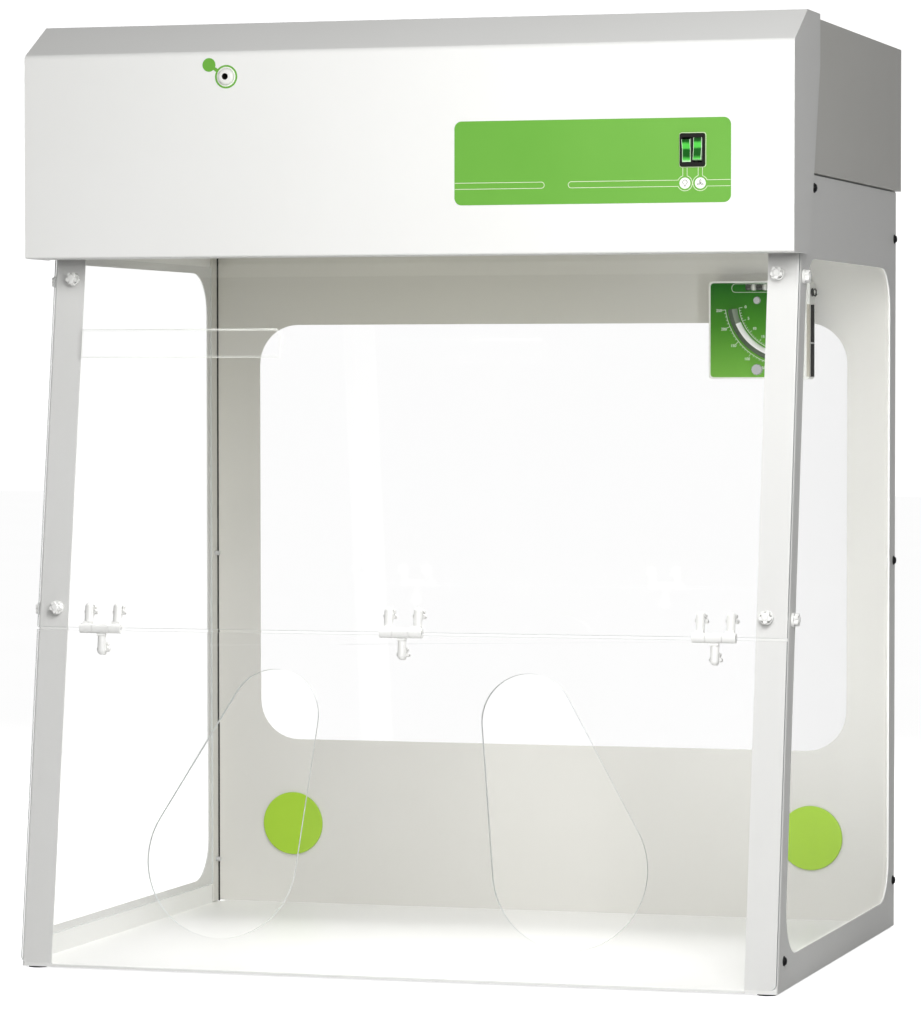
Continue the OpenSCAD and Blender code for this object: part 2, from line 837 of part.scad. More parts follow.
finger_stud_v = finger_l - finger_w / 2 - 3;
outer_knuckle = (barrel_l - knuckle_l) / 2 - clear;
side_fingers = [[-(barrel_l - outer_knuckle) / 2, 1], [(barrel_l - outer_knuckle) / 2, 1]];
middle_finger = [[0, -1]];

module upper_pane() {
    edge = half_w - pane_inset;
    color([0.88, 0.95, 0.97, 0.3])
        on_front()
            difference() {
                block([-edge, pane_front, split_v + split_gap / 2], [edge, -pane_gap, pane_top_v]);
                for (s = [-1, 1])
                    on_side(s)
                        front_knob_holes(knob_stud_d + 2 * hole_fit);
                finger_studs(side_fingers, finger_stud_d + 2 * hole_fit);
            }
}

module lower_pane() {
    edge = half_w - pane_inset;
    color([0.88, 0.95, 0.97, 0.3])
        on_front()
            difference() {
                plate_y(pane_front, -pane_gap)
                    difference() {
                        polygon(rounded([[-edge, pane_foot_v], [edge, pane_foot_v], [edge, split_v - split_gap / 2],
                            [-edge, split_v - split_gap / 2]], [6, 6, 0, 0]));
                        for (s = [-1, 1])
                            mirror([s < 0 ? 1 : 0, 0])
                                polygon(pear([hand_foot_x, hand_foot_v], hand_foot_r, [hand_top_x, hand_top_v], hand_top_r));
                    }
                finger_studs(middle_finger, finger_stud_d + 2 * hole_fit);
            }
}

// A half-round finger that lies on a pane, with its stud through the pane
module finger(f, reach) {
    translate([f[0], pane_front, split_v])
        mirror([0, 0, f[1] < 0 ? 1 : 0]) {
            difference() {
                rotate_extrude()
                    intersection() {
                        union() {
                            square([finger_w / 2, finger_l - finger_w / 2]);
                            translate([0, finger_l - finger_w / 2])
                                circle(d = finger_w);
                        }
                        square([finger_w, finger_l]);
                    }
                block([-finger_w, 0, -1], [finger_w, finger_w, finger_l + 1]);
                block([-finger_w, -finger_w, -1], [finger_w, 1, split_gap / 2]);
            }
            translate([0, -1, finger_stud_v])
                rotate([-90, 0, 0])
                    cylinder(d = finger_stud_d, h = reach + 1);
        }
}

// A knuckle of a pane hinge, bored for the pin, with a web to its pane
module knuckle(x, l, up, bore) {
    difference() {
        union() {
            bar_x([x - l / 2, barrel_y, split_v], barrel_d, l);
            translate([x - min(l, finger_w) / 2, barrel_y, split_v])
                mirror([0, 0, up < 0 ? 1 : 0])
                    cube([min(l, finger_w), pane_front - barrel_y, barrel_d * 0.75]);
        }
        bar_x([x - l, barrel_y, split_v], bore, 2 * l);
    }
}

stud_reach = pane_t + star_nut_h - 1;

module fixed_hinge_leaves() {
    color([0.95, 0.95, 0.94])
        on_front()
            for (x = hinge_places)
                for (f = side_fingers)
                    translate([x, 0, 0]) {
                        difference() {
                            finger(f, stud_reach);
                            bar_x([-barrel_l, barrel_y, split_v], barrel_d * 0.9, 2 * barrel_l);
                        }
                        knuckle(f[0], outer_knuckle, 1, hinge_pin_d);
                    }
}

module moving_hinge_leaves() {
    color([0.95, 0.95, 0.94])
        on_front()
            for (x = hinge_places)
                translate([x, 0, 0]) {
                    difference() {
                        finger(middle_finger[0], stud_reach);
                        bar_x([-barrel_l, barrel_y, split_v], barrel_d * 0.9, 2 * barrel_l);
                    }
                    knuckle(0, knuckle_l, -1, hinge_pin_d + 2 * run_fit);
                }
}

module hinge_pins() {
    color([0.75, 0.76, 0.78])
        on_front()
            for (x = hinge_places)
                bar_x([x - barrel_l / 2 + 0.5, barrel_y, split_v], hinge_pin_d, barrel_l - 1);
}

// Five lobes round a core, as an outline
module star(d) {
    circle(d = d * 0.66);
    for (k = [0:4])
        rotate(72 * k + 90)
            translate([d * 0.34, 0])
                circle(d = d * 0.32);
}

module star_nuts(fingers) {
    color([0.95, 0.95, 0.94])
        on_front()
            for (x = hinge_places, f = fingers)
                translate([x + f[0], -pane_gap, split_v + f[1] * finger_stud_v])
                    rotate([-90, 0, 0])
                        difference() {
                            linear_extrude(star_nut_h)
                                star(star_nut_d);
                            translate([0, 0, -1])
                                cylinder(d = finger_stud_d, h = star_nut_h + 0.01);
                        }
}

module fixed_star_nuts() {
    star_nuts(side_fingers);
}

module moving_star_nuts() {
    star_nuts(middle_finger);
}

// A star knob that points along -z from its seat at z = 0, with its stud along +z
module star_knob(stud_l) {
    color([0.96, 0.96, 0.95]) {
        translate([0, 0, -collar_h])
            cylinder(d = knob_d, h = collar_h);
        translate([0, 0, -knob_h + 1])
            linear_extrude(knob_h - 1 - collar_h / 2)
                star(knob_d - 2 * star_step);
        translate([0, 0, -knob_h])
            cylinder(d1 = knob_d * 0.4, d2 = knob_d * 0.6, h = 1.5);
        cylinder(d = knob_stud_d, h = stud_l);
    }
}

module front_knob(side, v) {
    on_front()
        translate([side * front_knob_x, pane_front - clear, v])
            rotate([-90, 0, 0])
                star_knob(clear + pane_t + pane_gap + sheet_t + captive_nut_h);
}

module side_knob(side, v) {
    on_side(side)
        stand()
            translate([half_w + clear, side_knob_at(v)[0], side_knob_at(v)[1]])
                rotate([0, -90, 0])
                    star_knob(clear + sheet_t + glazing_t + captive_nut_h);
}

module front_knob_high_left() {
    front_knob(-1, high_knob_v);
}

module front_knob_high_right() {
    front_knob(1, high_knob_v);
}

module front_knob_low_left() {
    front_knob(-1, low_knob_v);
}

module front_knob_low_right() {
    front_knob(1, low_knob_v);
}

module side_knob_high_left() {
    side_knob(-1, high_knob_v);
}

module side_knob_high_right() {
    side_knob(1, high_knob_v);
}

module side_knob_low_left() {
    side_knob(-1, low_knob_v);
}

module side_knob_low_right() {
    side_knob(1, low_knob_v);
}

// Threaded inserts that the knobs screw into
module captive_nut(p, turned) {
    translate(p)
        rotate(turned)
            difference() {
                cylinder(d = captive_nut_d, h = captive_nut_h);
                translate([0, 0, -1])
                    cylinder(d = knob_stud_d + 2 * run_fit, h = captive_nut_h + 2);
            }
}

module captive_nuts() {
    color([0.7, 0.71, 0.73])
        for (s = [-1, 1], v = [low_knob_v, high_knob_v])
            on_side(s) {
                on_front()
                    captive_nut([front_knob_x, sheet_t + 0.02, v], [-90, 0, 0]);
                stand()
                    captive_nut([half_w - sheet_t - glazing_t, side_knob_at(v)[0], side_knob_at(v)[1]], [0, -90, 0]);
            }
}

/* Head */

// Ceiling of the chamber: a plate with a grille under the filters, and a hanger strip at each end
module ceiling() {
    edge = half_w - sheet_t;
    front = side_top_y + head_set;
    seat = ceiling_up + sheet_t + 0.05;
    rear = cabinet_d - flange_w - 1;
    hole_w = (filter_w - 2 * filter_wall - (grille_cols - 1) * grille_bar) / grille_cols;
    hole_d = (filter_d - 2 * filter_wall - (grille_rows - 1) * grille_bar) / grille_rows;
    color([0.9, 0.9, 0.89])
        stand()
            difference() {
                union() {
                    block([-edge, front, ceiling_up], [edge, rear, ceiling_up + sheet_t]);
                    block([-edge + flange_w, rear - 1, ceiling_up], [edge - flange_w, rear_in, ceiling_up + sheet_t]);
                    for (s = [-1, 1])
                        on_side(s)
                            block([edge - sheet_t, front, seat], [edge, rear, side_h - sheet_t - sheet_gap]);
                }
                for (i = [0:grille_cols - 1], k = [0:grille_rows - 1])
                    translate([-filter_w / 2 + filter_wall + i * (hole_w + grille_bar),
                        blower_y - filter_d / 2 + filter_wall + k * (hole_d + grille_bar), ceiling_up - 1])
                        cube([hole_w, hole_d, sheet_t + 2]);
                for (s = [-1, 1], p = screw_places())
                    if (p[0] < cabinet_d / 2)
                        on_side(s)
                            bar_x([edge - 5, p[0], p[1]], screw_d + 2 * hole_fit, 10);
            }
}

module prefilter() {
    color([0.92, 0.93, 0.9])
        stand()
            translate([0, blower_y, filter_z])
                linear_extrude(prefilter_t)
                    polygon(soft_rect(filter_w, filter_d, 6));
}

module filter_cassette() {
    color([0.78, 0.79, 0.8])
        stand()
            translate([0, blower_y, cassette_z])
                linear_extrude(filter_h)
                    difference() {
                        square([filter_w, filter_d], center = true);
                        square([filter_w - 2 * filter_wall, filter_d - 2 * filter_wall], center = true);
                    }
}

module carbon_bed() {
    w = filter_w - 2 * filter_wall - 0.4;
    d = filter_d - 2 * filter_wall - 0.4;
    color([0.12, 0.12, 0.12])
        stand()
            block([-w / 2, blower_y - d / 2, cassette_z], [w / 2, blower_y + d / 2, cassette_z + filter_h - 3]);
}

// Plate across the top of the cabinet that carries the blower and seats the cover
module blower_deck() {
    edge = half_w - 4;
    color([0.6, 0.61, 0.62])
        stand()
            difference() {
                block([-edge, cover_front, side_h], [edge, cover_rear - sheet_t - 1, deck_top]);
                bar_z([0, blower_y, side_h - 1], eye_d + 2 * blower_gap, deck_t + 2);
            }
}

// Bell-shaped ring that leads the air into the impeller's eye
module inlet_ring() {
    throat = eye_d / 2 - blower_gap;
    lip = ring_h * 0.55;
    color([0.7, 0.71, 0.72])
        stand()
            translate([0, blower_y, deck_top])
                rotate_extrude($fn = 96)
                    polygon(concat(
                        [[throat + lip + 14, 0], [throat + lip + 14, 2]],
                        [[throat + lip, 2]],
                        reverse(arc([throat + lip, lip], lip - 2, 180, 270, 6)),
                        [[throat + 2, ring_h], [throat, ring_h]],
                        arc([throat + lip, lip], lip, 180, 270, 6)));
}

module impeller() {
    blade_l = (impeller_d - eye_d) / 2 * 1.35;
    color([0.55, 0.57, 0.6])
        stand()
            translate([0, blower_y, impeller_z])
                difference() {
                    union() {
                        difference() {
                            cylinder(d = impeller_d, h = blade_t, $fn = 96);
                            translate([0, 0, -1])
                                cylinder(d = eye_d, h = blade_t + 2, $fn = 96);
                        }
                        translate([0, 0, impeller_h - blade_t])
                            cylinder(d = impeller_d, h = blade_t, $fn = 96);
                        translate([0, 0, impeller_h - 24])
                            cylinder(d = 3 * shaft_d, h = 24);
                        for (k = [0:blade_n - 1])
                            rotate(360 / blade_n * k)
                                translate([eye_d / 2 - 4, 0, blade_t / 2])
                                    rotate(-42)
                                        cube([blade_l, blade_t, impeller_h - blade_t]);
                    }
                    translate([0, 0, -1])
                        cylinder(d = shaft_d + 2 * run_fit, h = impeller_h + 2);
                }
}

module blower_motor() {
    color([0.3, 0.31, 0.33])
        stand()
            translate([0, blower_y, motor_z]) {
                cylinder(d = motor_d, h = motor_h, $fn = 96);
                translate([0, 0, -blower_gap - 22])
                    cylinder(d = shaft_d, h = blower_gap + 23);
                translate([0, -10, 8])
                    cube([motor_d / 2 + 14, 20, 14]);
            }
}

// Hat-shaped bridge that hangs the motor over the impeller
module motor_bridge() {
    color([0.62, 0.63, 0.64])
        stand()
            translate([0, blower_y, 0]) {
                block([-bridge_w / 2, -bridge_span / 2, bridge_z], [bridge_w / 2, bridge_span / 2, bridge_z + sheet_t]);
                for (s = [0, 1])
                    mirror([0, s, 0]) {
                        block([-bridge_w / 2, bridge_span / 2 - sheet_t, deck_top],
                            [bridge_w / 2, bridge_span / 2, bridge_z + sheet_t]);
                        block([-bridge_w / 2, bridge_span / 2 - sheet_t, deck_top],
                            [bridge_w / 2, bridge_span / 2 + 22, deck_top + sheet_t]);
                    }
            }
}

module top_cover() {
    seat = cover_half - 16;
    color([0.66, 0.66, 0.65])
        stand()
            difference() {
                union() {
                    block([-cover_half, cover_front, cover_top - sheet_t], [cover_half, cover_rear, cover_top]);
                    block([-cover_half, cover_rear - sheet_t, deck_top], [cover_half, cover_rear, cover_top]);
                    for (s = [-1, 1])
                        on_side(s) {
                            block([cover_half - sheet_t, cover_front, deck_top], [cover_half, cover_rear, cover_top]);
                            block([seat, cover_front, deck_top], [cover_half, cover_rear, deck_top + sheet_t]);
                        }
                }
                for (i = [0:slot_cols - 1], k = [0:slot_rows - 1])
                    translate([(i - (slot_cols - 1) / 2) * slot_pitch_x - slot_l / 2,
                        blower_y + slot_back + (k - (slot_rows - 1) / 2) * slot_pitch_y - slot_w / 2,
                        cover_top - sheet_t - 1])
                        cube([slot_l, slot_w, sheet_t + 2]);
                translate([driver_x, cover_rear - sheet_t - 1, deck_top + inlet_up])
                    block([-inlet_w / 2 + 9, 0, -inlet_h / 2 + 2], [inlet_w / 2 - 9, sheet_t + 2, inlet_h / 2 - 2]);
            }
}

/* Electrics */

// Appliance inlet in the cover's back, open to the rear
module power_inlet() {
    in_w = inlet_w - 18 - 2 * clear;
    in_h = inlet_h - 4 - 2 * clear;
    color([0.07, 0.07, 0.07])
        stand()
            translate([driver_x, cover_rear, deck_top + inlet_up])
                difference() {
                    union() {
                        plate_y(0, inlet_t)
                            polygon(soft_rect(inlet_w, inlet_h, 4));
                        block([-in_w / 2, -inlet_depth, -in_h / 2], [in_w / 2, inlet_t / 2, in_h / 2]);
                    }
                    plate_y(-inlet_depth + 4, inlet_t + 1)
                        polygon(rounded([[-in_w / 2 + 2.5, -in_h / 2 + 2.5], [in_w / 2 - 2.5, -in_h / 2 + 2.5],
                            [in_w / 2 - 2.5, in_h / 2 - 2.5], [-in_w / 2 + 2.5, in_h / 2 - 2.5]], [1, 1, 5, 5], 4));
                }
}

module inlet_blades() {
    color([0.8, 0.78, 0.7])
        stand()
            translate([driver_x, cover_rear - inlet_depth + 4, deck_top + inlet_up])
                for (p = [[-7, -2], [7, -2], [0, 2]])
                    translate([p[0] - 1, 0, p[1] - 2])
                        cube([2, inlet_depth - 8, 4]);
}

module driver_box() {
    color([0.85, 0.85, 0.84])
        stand()
            translate([driver_x, blower_y, deck_top])
                linear_extrude(driver_h)
                    polygon(soft_rect(driver_w, driver_d, 4));
}

module inside_leads() {
    low = deck_top + driver_h / 2;
    motor_face = motor_d / 2 + 14;
    box_face = driver_x - driver_w / 2;
    box_back = blower_y + driver_d / 2;
    inlet_face = cover_rear - inlet_depth;
    gap_x = box_face - motor_face;
    gap_y = inlet_face - box_back;
    color([0.1, 0.1, 0.1])
        stand() {
            lead(run([[motor_face, blower_y, motor_z + 15], [box_face - 0.12 * gap_x, blower_y, motor_z + 15],
                [box_face - 0.4 * gap_x, blower_y, low], [box_face, blower_y, low]]), lead_d);
            lead(run([[driver_x, box_back, low], [driver_x, box_back + 0.3 * gap_y, low],
                [driver_x, inlet_face - 0.3 * gap_y, deck_top + inlet_up],
                [driver_x, inlet_face, deck_top + inlet_up]]), lead_d);
        }
}

lamp_y = side_top_y + 10;

module lamp_housing() {
    color([0.95, 0.95, 0.95])
        stand()
            difference() {
                block([-lamp_l / 2, lamp_y, ceiling_up - lamp_h], [lamp_l / 2, lamp_y + lamp_d, ceiling_up]);
                block([-lamp_l / 2 + 2, lamp_y + 2, ceiling_up - lamp_h - 1],
                    [lamp_l / 2 - 2, lamp_y + lamp_d - 2, ceiling_up - 2]);
            }
}

module lamp_diffuser() {
    color([0.98, 0.98, 0.96])
        stand()
            block([-lamp_l / 2 + 2.2, lamp_y + 2.2, ceiling_up - lamp_h],
                [lamp_l / 2 - 2.2, lamp_y + lamp_d - 2.2, ceiling_up - lamp_h + diffuser_t]);
}

/* Fascia */

// Depth and height along the fascia's outside, from the lip round to the flat top
function fascia_line() = [
    [fascia_y + fascia_lip, fascia_foot], [fascia_y, fascia_foot], [fascia_y, fascia_top - chamfer_rise],
    [fascia_y + chamfer_run, fascia_top], [fascia_rear, fascia_top]
];

function fascia_bends() = [0, 2.5, fascia_bend_r, fascia_bend_r, 0];

module fascia_panel() {
    outside = rounded_path(fascia_line(), fascia_bends());
    inside = rounded_path(beside(fascia_line(), -sheet_t), [for (r = fascia_bends()) max(r - sheet_t, 0)]);
    face = [fascia_line()[1], fascia_line()[2], fascia_line()[3], fascia_line()[4]];
    color([0.93, 0.93, 0.93])
        stand()
            difference() {
                union() {
                    plate_x(-fascia_w / 2, fascia_w / 2)
                        polygon(concat(outside, reverse(inside)));
                    for (s = [-1, 1])
                        on_side(s)
                            plate_x(fascia_w / 2 - sheet_t, fascia_w / 2)
                                polygon(rounded(concat(face, [[fascia_rear, fascia_top - return_upright],
                                    [fascia_y + return_foot, fascia_foot]]),
                                    [2.5, fascia_bend_r, fascia_bend_r, 0, 20, 12], 8));
                }
                switch_cutout();
                bar_y([-sample_x, fascia_y - 5, fascia_foot + sample_up], sample_tail_d + 2 * hole_fit, 20);
            }
}

module switch_cutout() {
    w = switch_w - 2 * switch_rim + 2 * hole_fit;
    h = switch_h - 2 * switch_rim + 2 * hole_fit;
    block([switch_x - w / 2, fascia_y - 5, switch_z - h / 2], [switch_x + w / 2, fascia_y + 10, switch_z + h / 2]);
}

module control_label() {
    color([0.4, 0.71, 0.24])
        stand()
            difference() {
                plate_y(fascia_y - label_t, fascia_y)
                    translate([label_x, fascia_foot + label_up])
                        polygon(soft_rect(label_w, label_h, label_r));
                switch_cutout();
            }
}

// Bezel with two open cells, and the pin across them that the rockers turn on
module switch_bezel() {
    w = switch_w - 2 * switch_rim;
    h = switch_h - 2 * switch_rim;
    cell_h = rocker_h + 2.4;
    front = fascia_y - label_t;
    color([0.03, 0.03, 0.03])
        stand()
            translate([switch_x, 0, switch_z]) {
                difference() {
                    union() {
                        plate_y(front - bezel_t, front)
                            polygon(soft_rect(switch_w, switch_h, 2));
                        block([-w / 2, front - 1, -h / 2], [w / 2, fascia_y + switch_depth, h / 2]);
                    }
                    for (s = [-1, 1])
                        block([s * rocker_x - rocker_cell / 2, front - bezel_t - 1, -cell_h / 2],
                            [s * rocker_x + rocker_cell / 2, fascia_y + switch_depth - 3, cell_h / 2]);
                }
                bar_x([-w / 2 + 1, rocker_axis_y, 0], rocker_pin_d, w - 2);
            }
}

// A rocker with a shallow V face, bored for the pin and tilted to one end of its throw
module rocker(side, tilt) {
    nose = fascia_y - label_t - bezel_t - 2.6 - rocker_axis_y;
    dip = 1.6;
    color([0.3, 0.72, 0.25, 0.85])
        stand()
            translate([switch_x + side * rocker_x, rocker_axis_y, switch_z])
                rotate([tilt, 0, 0])
                    difference() {
                        plate_x(-rocker_w / 2, rocker_w / 2)
                            polygon([[nose, -rocker_h / 2], [nose + dip, 0], [nose, rocker_h / 2], [1, rocker_h / 2],
                                [6, rocker_h / 5], [6, -rocker_h / 5], [1, -rocker_h / 2]]);
                        bar_x([-rocker_w, 0, 0], rocker_pin_d + 2 * run_fit, 2 * rocker_w);
                    }
}

module light_rocker() {
    rocker(-1, rocker_tilt);
}

module fan_rocker() {
    rocker(1, -rocker_tilt);
}

// Rounded boss with a bore right through, and a nut on its tail
module sampling_port() {
    front = fascia_y - label_t;
    color([0.94, 0.94, 0.92])
        stand()
            translate([-sample_x, 0, fascia_foot + sample_up])
                difference() {
                    union() {
                        translate([0, front, 0])
                            rotate([90, 0, 0])
                                rotate_extrude()
                                    polygon(concat([[0, 0], [sample_d / 2, 0], [sample_d / 2, 0.6]],
                                        arc([sample_d / 2 - sample_proud + 0.6, 0.6], sample_proud - 0.6, 0, 90, 8),
                                        [[0, sample_proud]]));
                        bar_y([0, front - 1, 0], sample_tail_d, sample_tail);
                        translate([0, fascia_y + sheet_t, 0])
                            rotate([-90, 0, 0])
                                cylinder(d = sample_tail_d + 8, h = 5, $fn = 6);
                    }
                    bar_y([0, front - sample_proud - 1, 0], sample_bore_d, sample_tail + sample_proud + 2);
                }
}

// Ring label round the port, with a small round tab
module sampling_label() {
    color([0.4, 0.71, 0.24])
        stand()
            plate_y(fascia_y - label_t, fascia_y)
                translate([-sample_x, fascia_foot + sample_up])
                    difference() {
                        union() {
                            circle(d = ring_d);
                            translate([-tab_x, tab_up])
                                circle(d = tab_d);
                            rotate(atan2(tab_up, -tab_x))
                                translate([0, -tab_d / 8])
                                    square([norm([tab_x, tab_up]), tab_d / 4]);
                        }
                        circle(d = sample_tail_d + 2 * hole_fit);
                    }
}

lift_outer = lift_hinge_l * 0.3;
lift_inner = lift_hinge_l * 0.4 - 2 * clear;

// Knuckle and leaf of a fascia hinge; back is 1 for the leaf on the cover and -1 for the fascia's
module lift_part(x, l, back, bore) {
    foot = back > 0 ? cover_top : lift_axis_z - lift_knuckle_d / 2;
    far = lift_axis_y + back * (lift_knuckle_d / 2 + lift_leaf);
    difference() {
        union() {
            bar_x([x - l / 2, lift_axis_y, lift_axis_z], lift_knuckle_d, l);
            block([x - l / 2, min(lift_axis_y, far), foot], [x + l / 2, max(lift_axis_y, far), foot + lift_leaf_t]);
        }
        bar_x([x - l, lift_axis_y, lift_axis_z], bore, 2 * l);
    }
}

module lift_fixed_leaves() {
    color([0.72, 0.73, 0.75])
        stand()
            for (x = [-lift_hinge_x, lift_hinge_x], s = [-1, 1])
                lift_part(x + s * (lift_hinge_l - lift_outer) / 2, lift_outer, 1, lift_pin_d);
}

module lift_moving_leaves() {
    color([0.72, 0.73, 0.75])
        stand()
            for (x = [-lift_hinge_x, lift_hinge_x])
                lift_part(x, lift_inner, -1, lift_pin_d + 2 * run_fit);
}

module lift_hinge_pins() {
    color([0.6, 0.61, 0.63])
        stand()
            for (x = [-lift_hinge_x, lift_hinge_x])
                bar_x([x - lift_hinge_l / 2, lift_axis_y, lift_axis_z], lift_pin_d, lift_hinge_l);
}

/* Gauge */

gauge_screw_x = -1.5;
gauge_screw_up = gauge_h / 2 - 21.5;
zero_x = 0;
zero_up = 10.5 - gauge_h / 2;
tube_mid = [tube_r - gauge_w / 2 + 26.5, tube_r - gauge_h / 2 + 23];

module at_gauge() {
    stand()
        translate([gauge_x, 0, gauge_up])
            children();
}

// White moulded body with a ribbed dark recess in its right end, and two hose barbs
module gauge_body() {
    color([0.92, 0.92, 0.9])
        at_gauge()
            difference() {
                union() {
                    plate_y(gauge_front, rear_in)
                        polygon(soft_rect(gauge_w, gauge_h, gauge_r));
                    for (y = [5, gauge_d - 5])
                        bar_x([gauge_w / 2 - 1, gauge_front + y, gauge_h / 2 - 12.5], barb_d, barb_l + 1);
                }
                for (z = [[-gauge_h / 2 + 3, -15], [-13.5, gauge_h / 2 - 26]])
                    block([gauge_w / 2 - 8, gauge_front + 2, z[0]], [gauge_w / 2 + 1, rear_in - 2, z[1]]);
                bar_y([gauge_screw_x, gauge_front - 5, gauge_screw_up], screw_d, gauge_d + 10);
                bar_y([zero_x, gauge_front - 5, zero_up], knob_stud_d + 2 * run_fit, 17);
            }
}

module gauge_plate() {
    color([0.35, 0.62, 0.2])
        at_gauge()
            difference() {
                plate_y(gauge_face, gauge_front)
                    polygon(soft_rect(gauge_w, gauge_h, gauge_r));
                bar_y([gauge_screw_x, gauge_face - 5, gauge_screw_up], screw_d, 20);
                bar_y([zero_x, gauge_face - 5, zero_up], knob_stud_d + 2 * hole_fit, 20);
            }
}

// Curved liquid tube on the face: from upright at its top to nearly level at its end
module gauge_tube() {
    color([0.45, 0.47, 0.45])
        at_gauge()
            translate([tube_mid[0], gauge_face, tube_mid[1]])
                rotate([90, 0, 0])
                    intersection() {
                        rotate([0, 0, 188])
                            rotate_extrude(angle = 77, $fn = 96)
                                translate([tube_r, 0])
                                    circle(d = tube_d, $fn = 24);
                        block([-gauge_w, -gauge_h, 0], [gauge_w, gauge_h, tube_d]);
                    }
}

module gauge_vial() {
    color([0.75, 0.8, 0.6])
        at_gauge()
            intersection() {
                bar_x([1 - vial_l / 2, gauge_face, gauge_h / 2 - 7], vial_d, vial_l);
                block([-gauge_w / 2, gauge_face - vial_d, 0], [gauge_w / 2, gauge_face, gauge_h / 2]);
            }
}

module gauge_screw() {
    color([0.6, 0.61, 0.62])
        at_gauge()
            translate([gauge_screw_x, gauge_face, gauge_screw_up])
                rotate([-90, 0, 0])
                    difference() {
                        union() {
                            translate([0, 0, -screw_head_h])
                                cylinder(d1 = screw_head_d * 0.7, d2 = screw_head_d * 0.85, h = screw_head_h);
                            cylinder(d = screw_d, h = gauge_plate_t + gauge_d + sheet_t + 4);
                        }
                        translate([-screw_head_d, -0.6, -screw_head_h - 1])
                            cube([2 * screw_head_d, 1.2, 2.2]);
                    }
}

module gauge_zero_knob() {
    color([0.75, 0.76, 0.76])
        at_gauge()
            translate([zero_x, gauge_face - clear, zero_up])
                rotate([-90, 0, 0]) {
                    translate([0, 0, -zero_h])
                        cylinder(d = zero_d, h = zero_h);
                    for (k = [0:11])
                        rotate(30 * k)
                            translate([zero_d / 2, 0, -zero_h + 1])
                                cylinder(d = 1.4, h = zero_h - 2, $fn = 16);
                    cylinder(d = knob_stud_d, h = clear + gauge_plate_t + 10);
                }
}

floor_tray();
left_side_frame();
right_side_frame();
left_side_window();
right_side_window();
rear_panel();
rear_window();
foot_pads();
left_frame_screws();
right_frame_screws();
ceiling();
prefilter();
filter_cassette();
carbon_bed();
blower_deck();
inlet_ring();
impeller();
blower_motor();
motor_bridge();
top_cover();
power_inlet();
inlet_blades();
driver_box();
inside_leads();
lamp_housing();
lamp_diffuser();
upper_pane();
lower_pane();
fixed_hinge_leaves();
moving_hinge_leaves();
hinge_pins();
fixed_star_nuts();
moving_star_nuts();
front_knob_high_left();
front_knob_high_right();
front_knob_low_left();
front_knob_low_right();
side_knob_high_left();
side_knob_high_right();
side_knob_low_left();
side_knob_low_right();
captive_nuts();
fascia_panel();
control_label();
switch_bezel();
light_rocker();
fan_rocker();
sampling_port();
sampling_label();
lift_fixed_leaves();
lift_moving_leaves();
lift_hinge_pins();
gauge_body();
gauge_plate();
gauge_tube();
gauge_vial();
gauge_screw();
gauge_zero_knob();
left_port_cap();
right_port_cap();
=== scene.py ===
import json
import math
from functools import partialmethod

import bmesh
import bpy
from mathutils import Matrix, Vector


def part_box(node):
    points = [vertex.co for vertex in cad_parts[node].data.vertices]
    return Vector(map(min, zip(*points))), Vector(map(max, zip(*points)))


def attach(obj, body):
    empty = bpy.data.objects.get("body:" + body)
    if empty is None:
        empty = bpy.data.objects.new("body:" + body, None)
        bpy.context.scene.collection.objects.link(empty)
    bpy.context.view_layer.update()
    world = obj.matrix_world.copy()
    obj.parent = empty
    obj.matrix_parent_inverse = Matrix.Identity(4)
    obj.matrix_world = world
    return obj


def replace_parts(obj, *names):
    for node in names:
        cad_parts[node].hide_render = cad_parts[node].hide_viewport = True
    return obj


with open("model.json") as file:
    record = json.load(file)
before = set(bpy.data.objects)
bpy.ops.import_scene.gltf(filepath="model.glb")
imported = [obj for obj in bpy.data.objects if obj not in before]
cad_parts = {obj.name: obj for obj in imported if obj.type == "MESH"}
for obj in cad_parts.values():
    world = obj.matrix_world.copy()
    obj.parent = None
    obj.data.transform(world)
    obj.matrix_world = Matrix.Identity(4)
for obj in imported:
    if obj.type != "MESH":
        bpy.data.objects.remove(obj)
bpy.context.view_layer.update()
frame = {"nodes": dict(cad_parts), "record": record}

nodes = frame["nodes"]
slotOf = {piece["node"]: piece["material_slot"] for piece in frame["record"]["subparts"]}
bodyOf = {name: body for body, names in frame["record"]["behaviour"]["bodies"].items() for name in names}
scene = bpy.context.scene
scene.view_settings.view_transform = "Standard"
mm = 0.001
print("frame loaded with", len(nodes), "nodes")


def middleOf(node):
    low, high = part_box(node)
    return (low + high) / 2


def newObject(name, data):
    made = bpy.data.objects.new(name, data)
    scene.collection.objects.link(made)
    return made


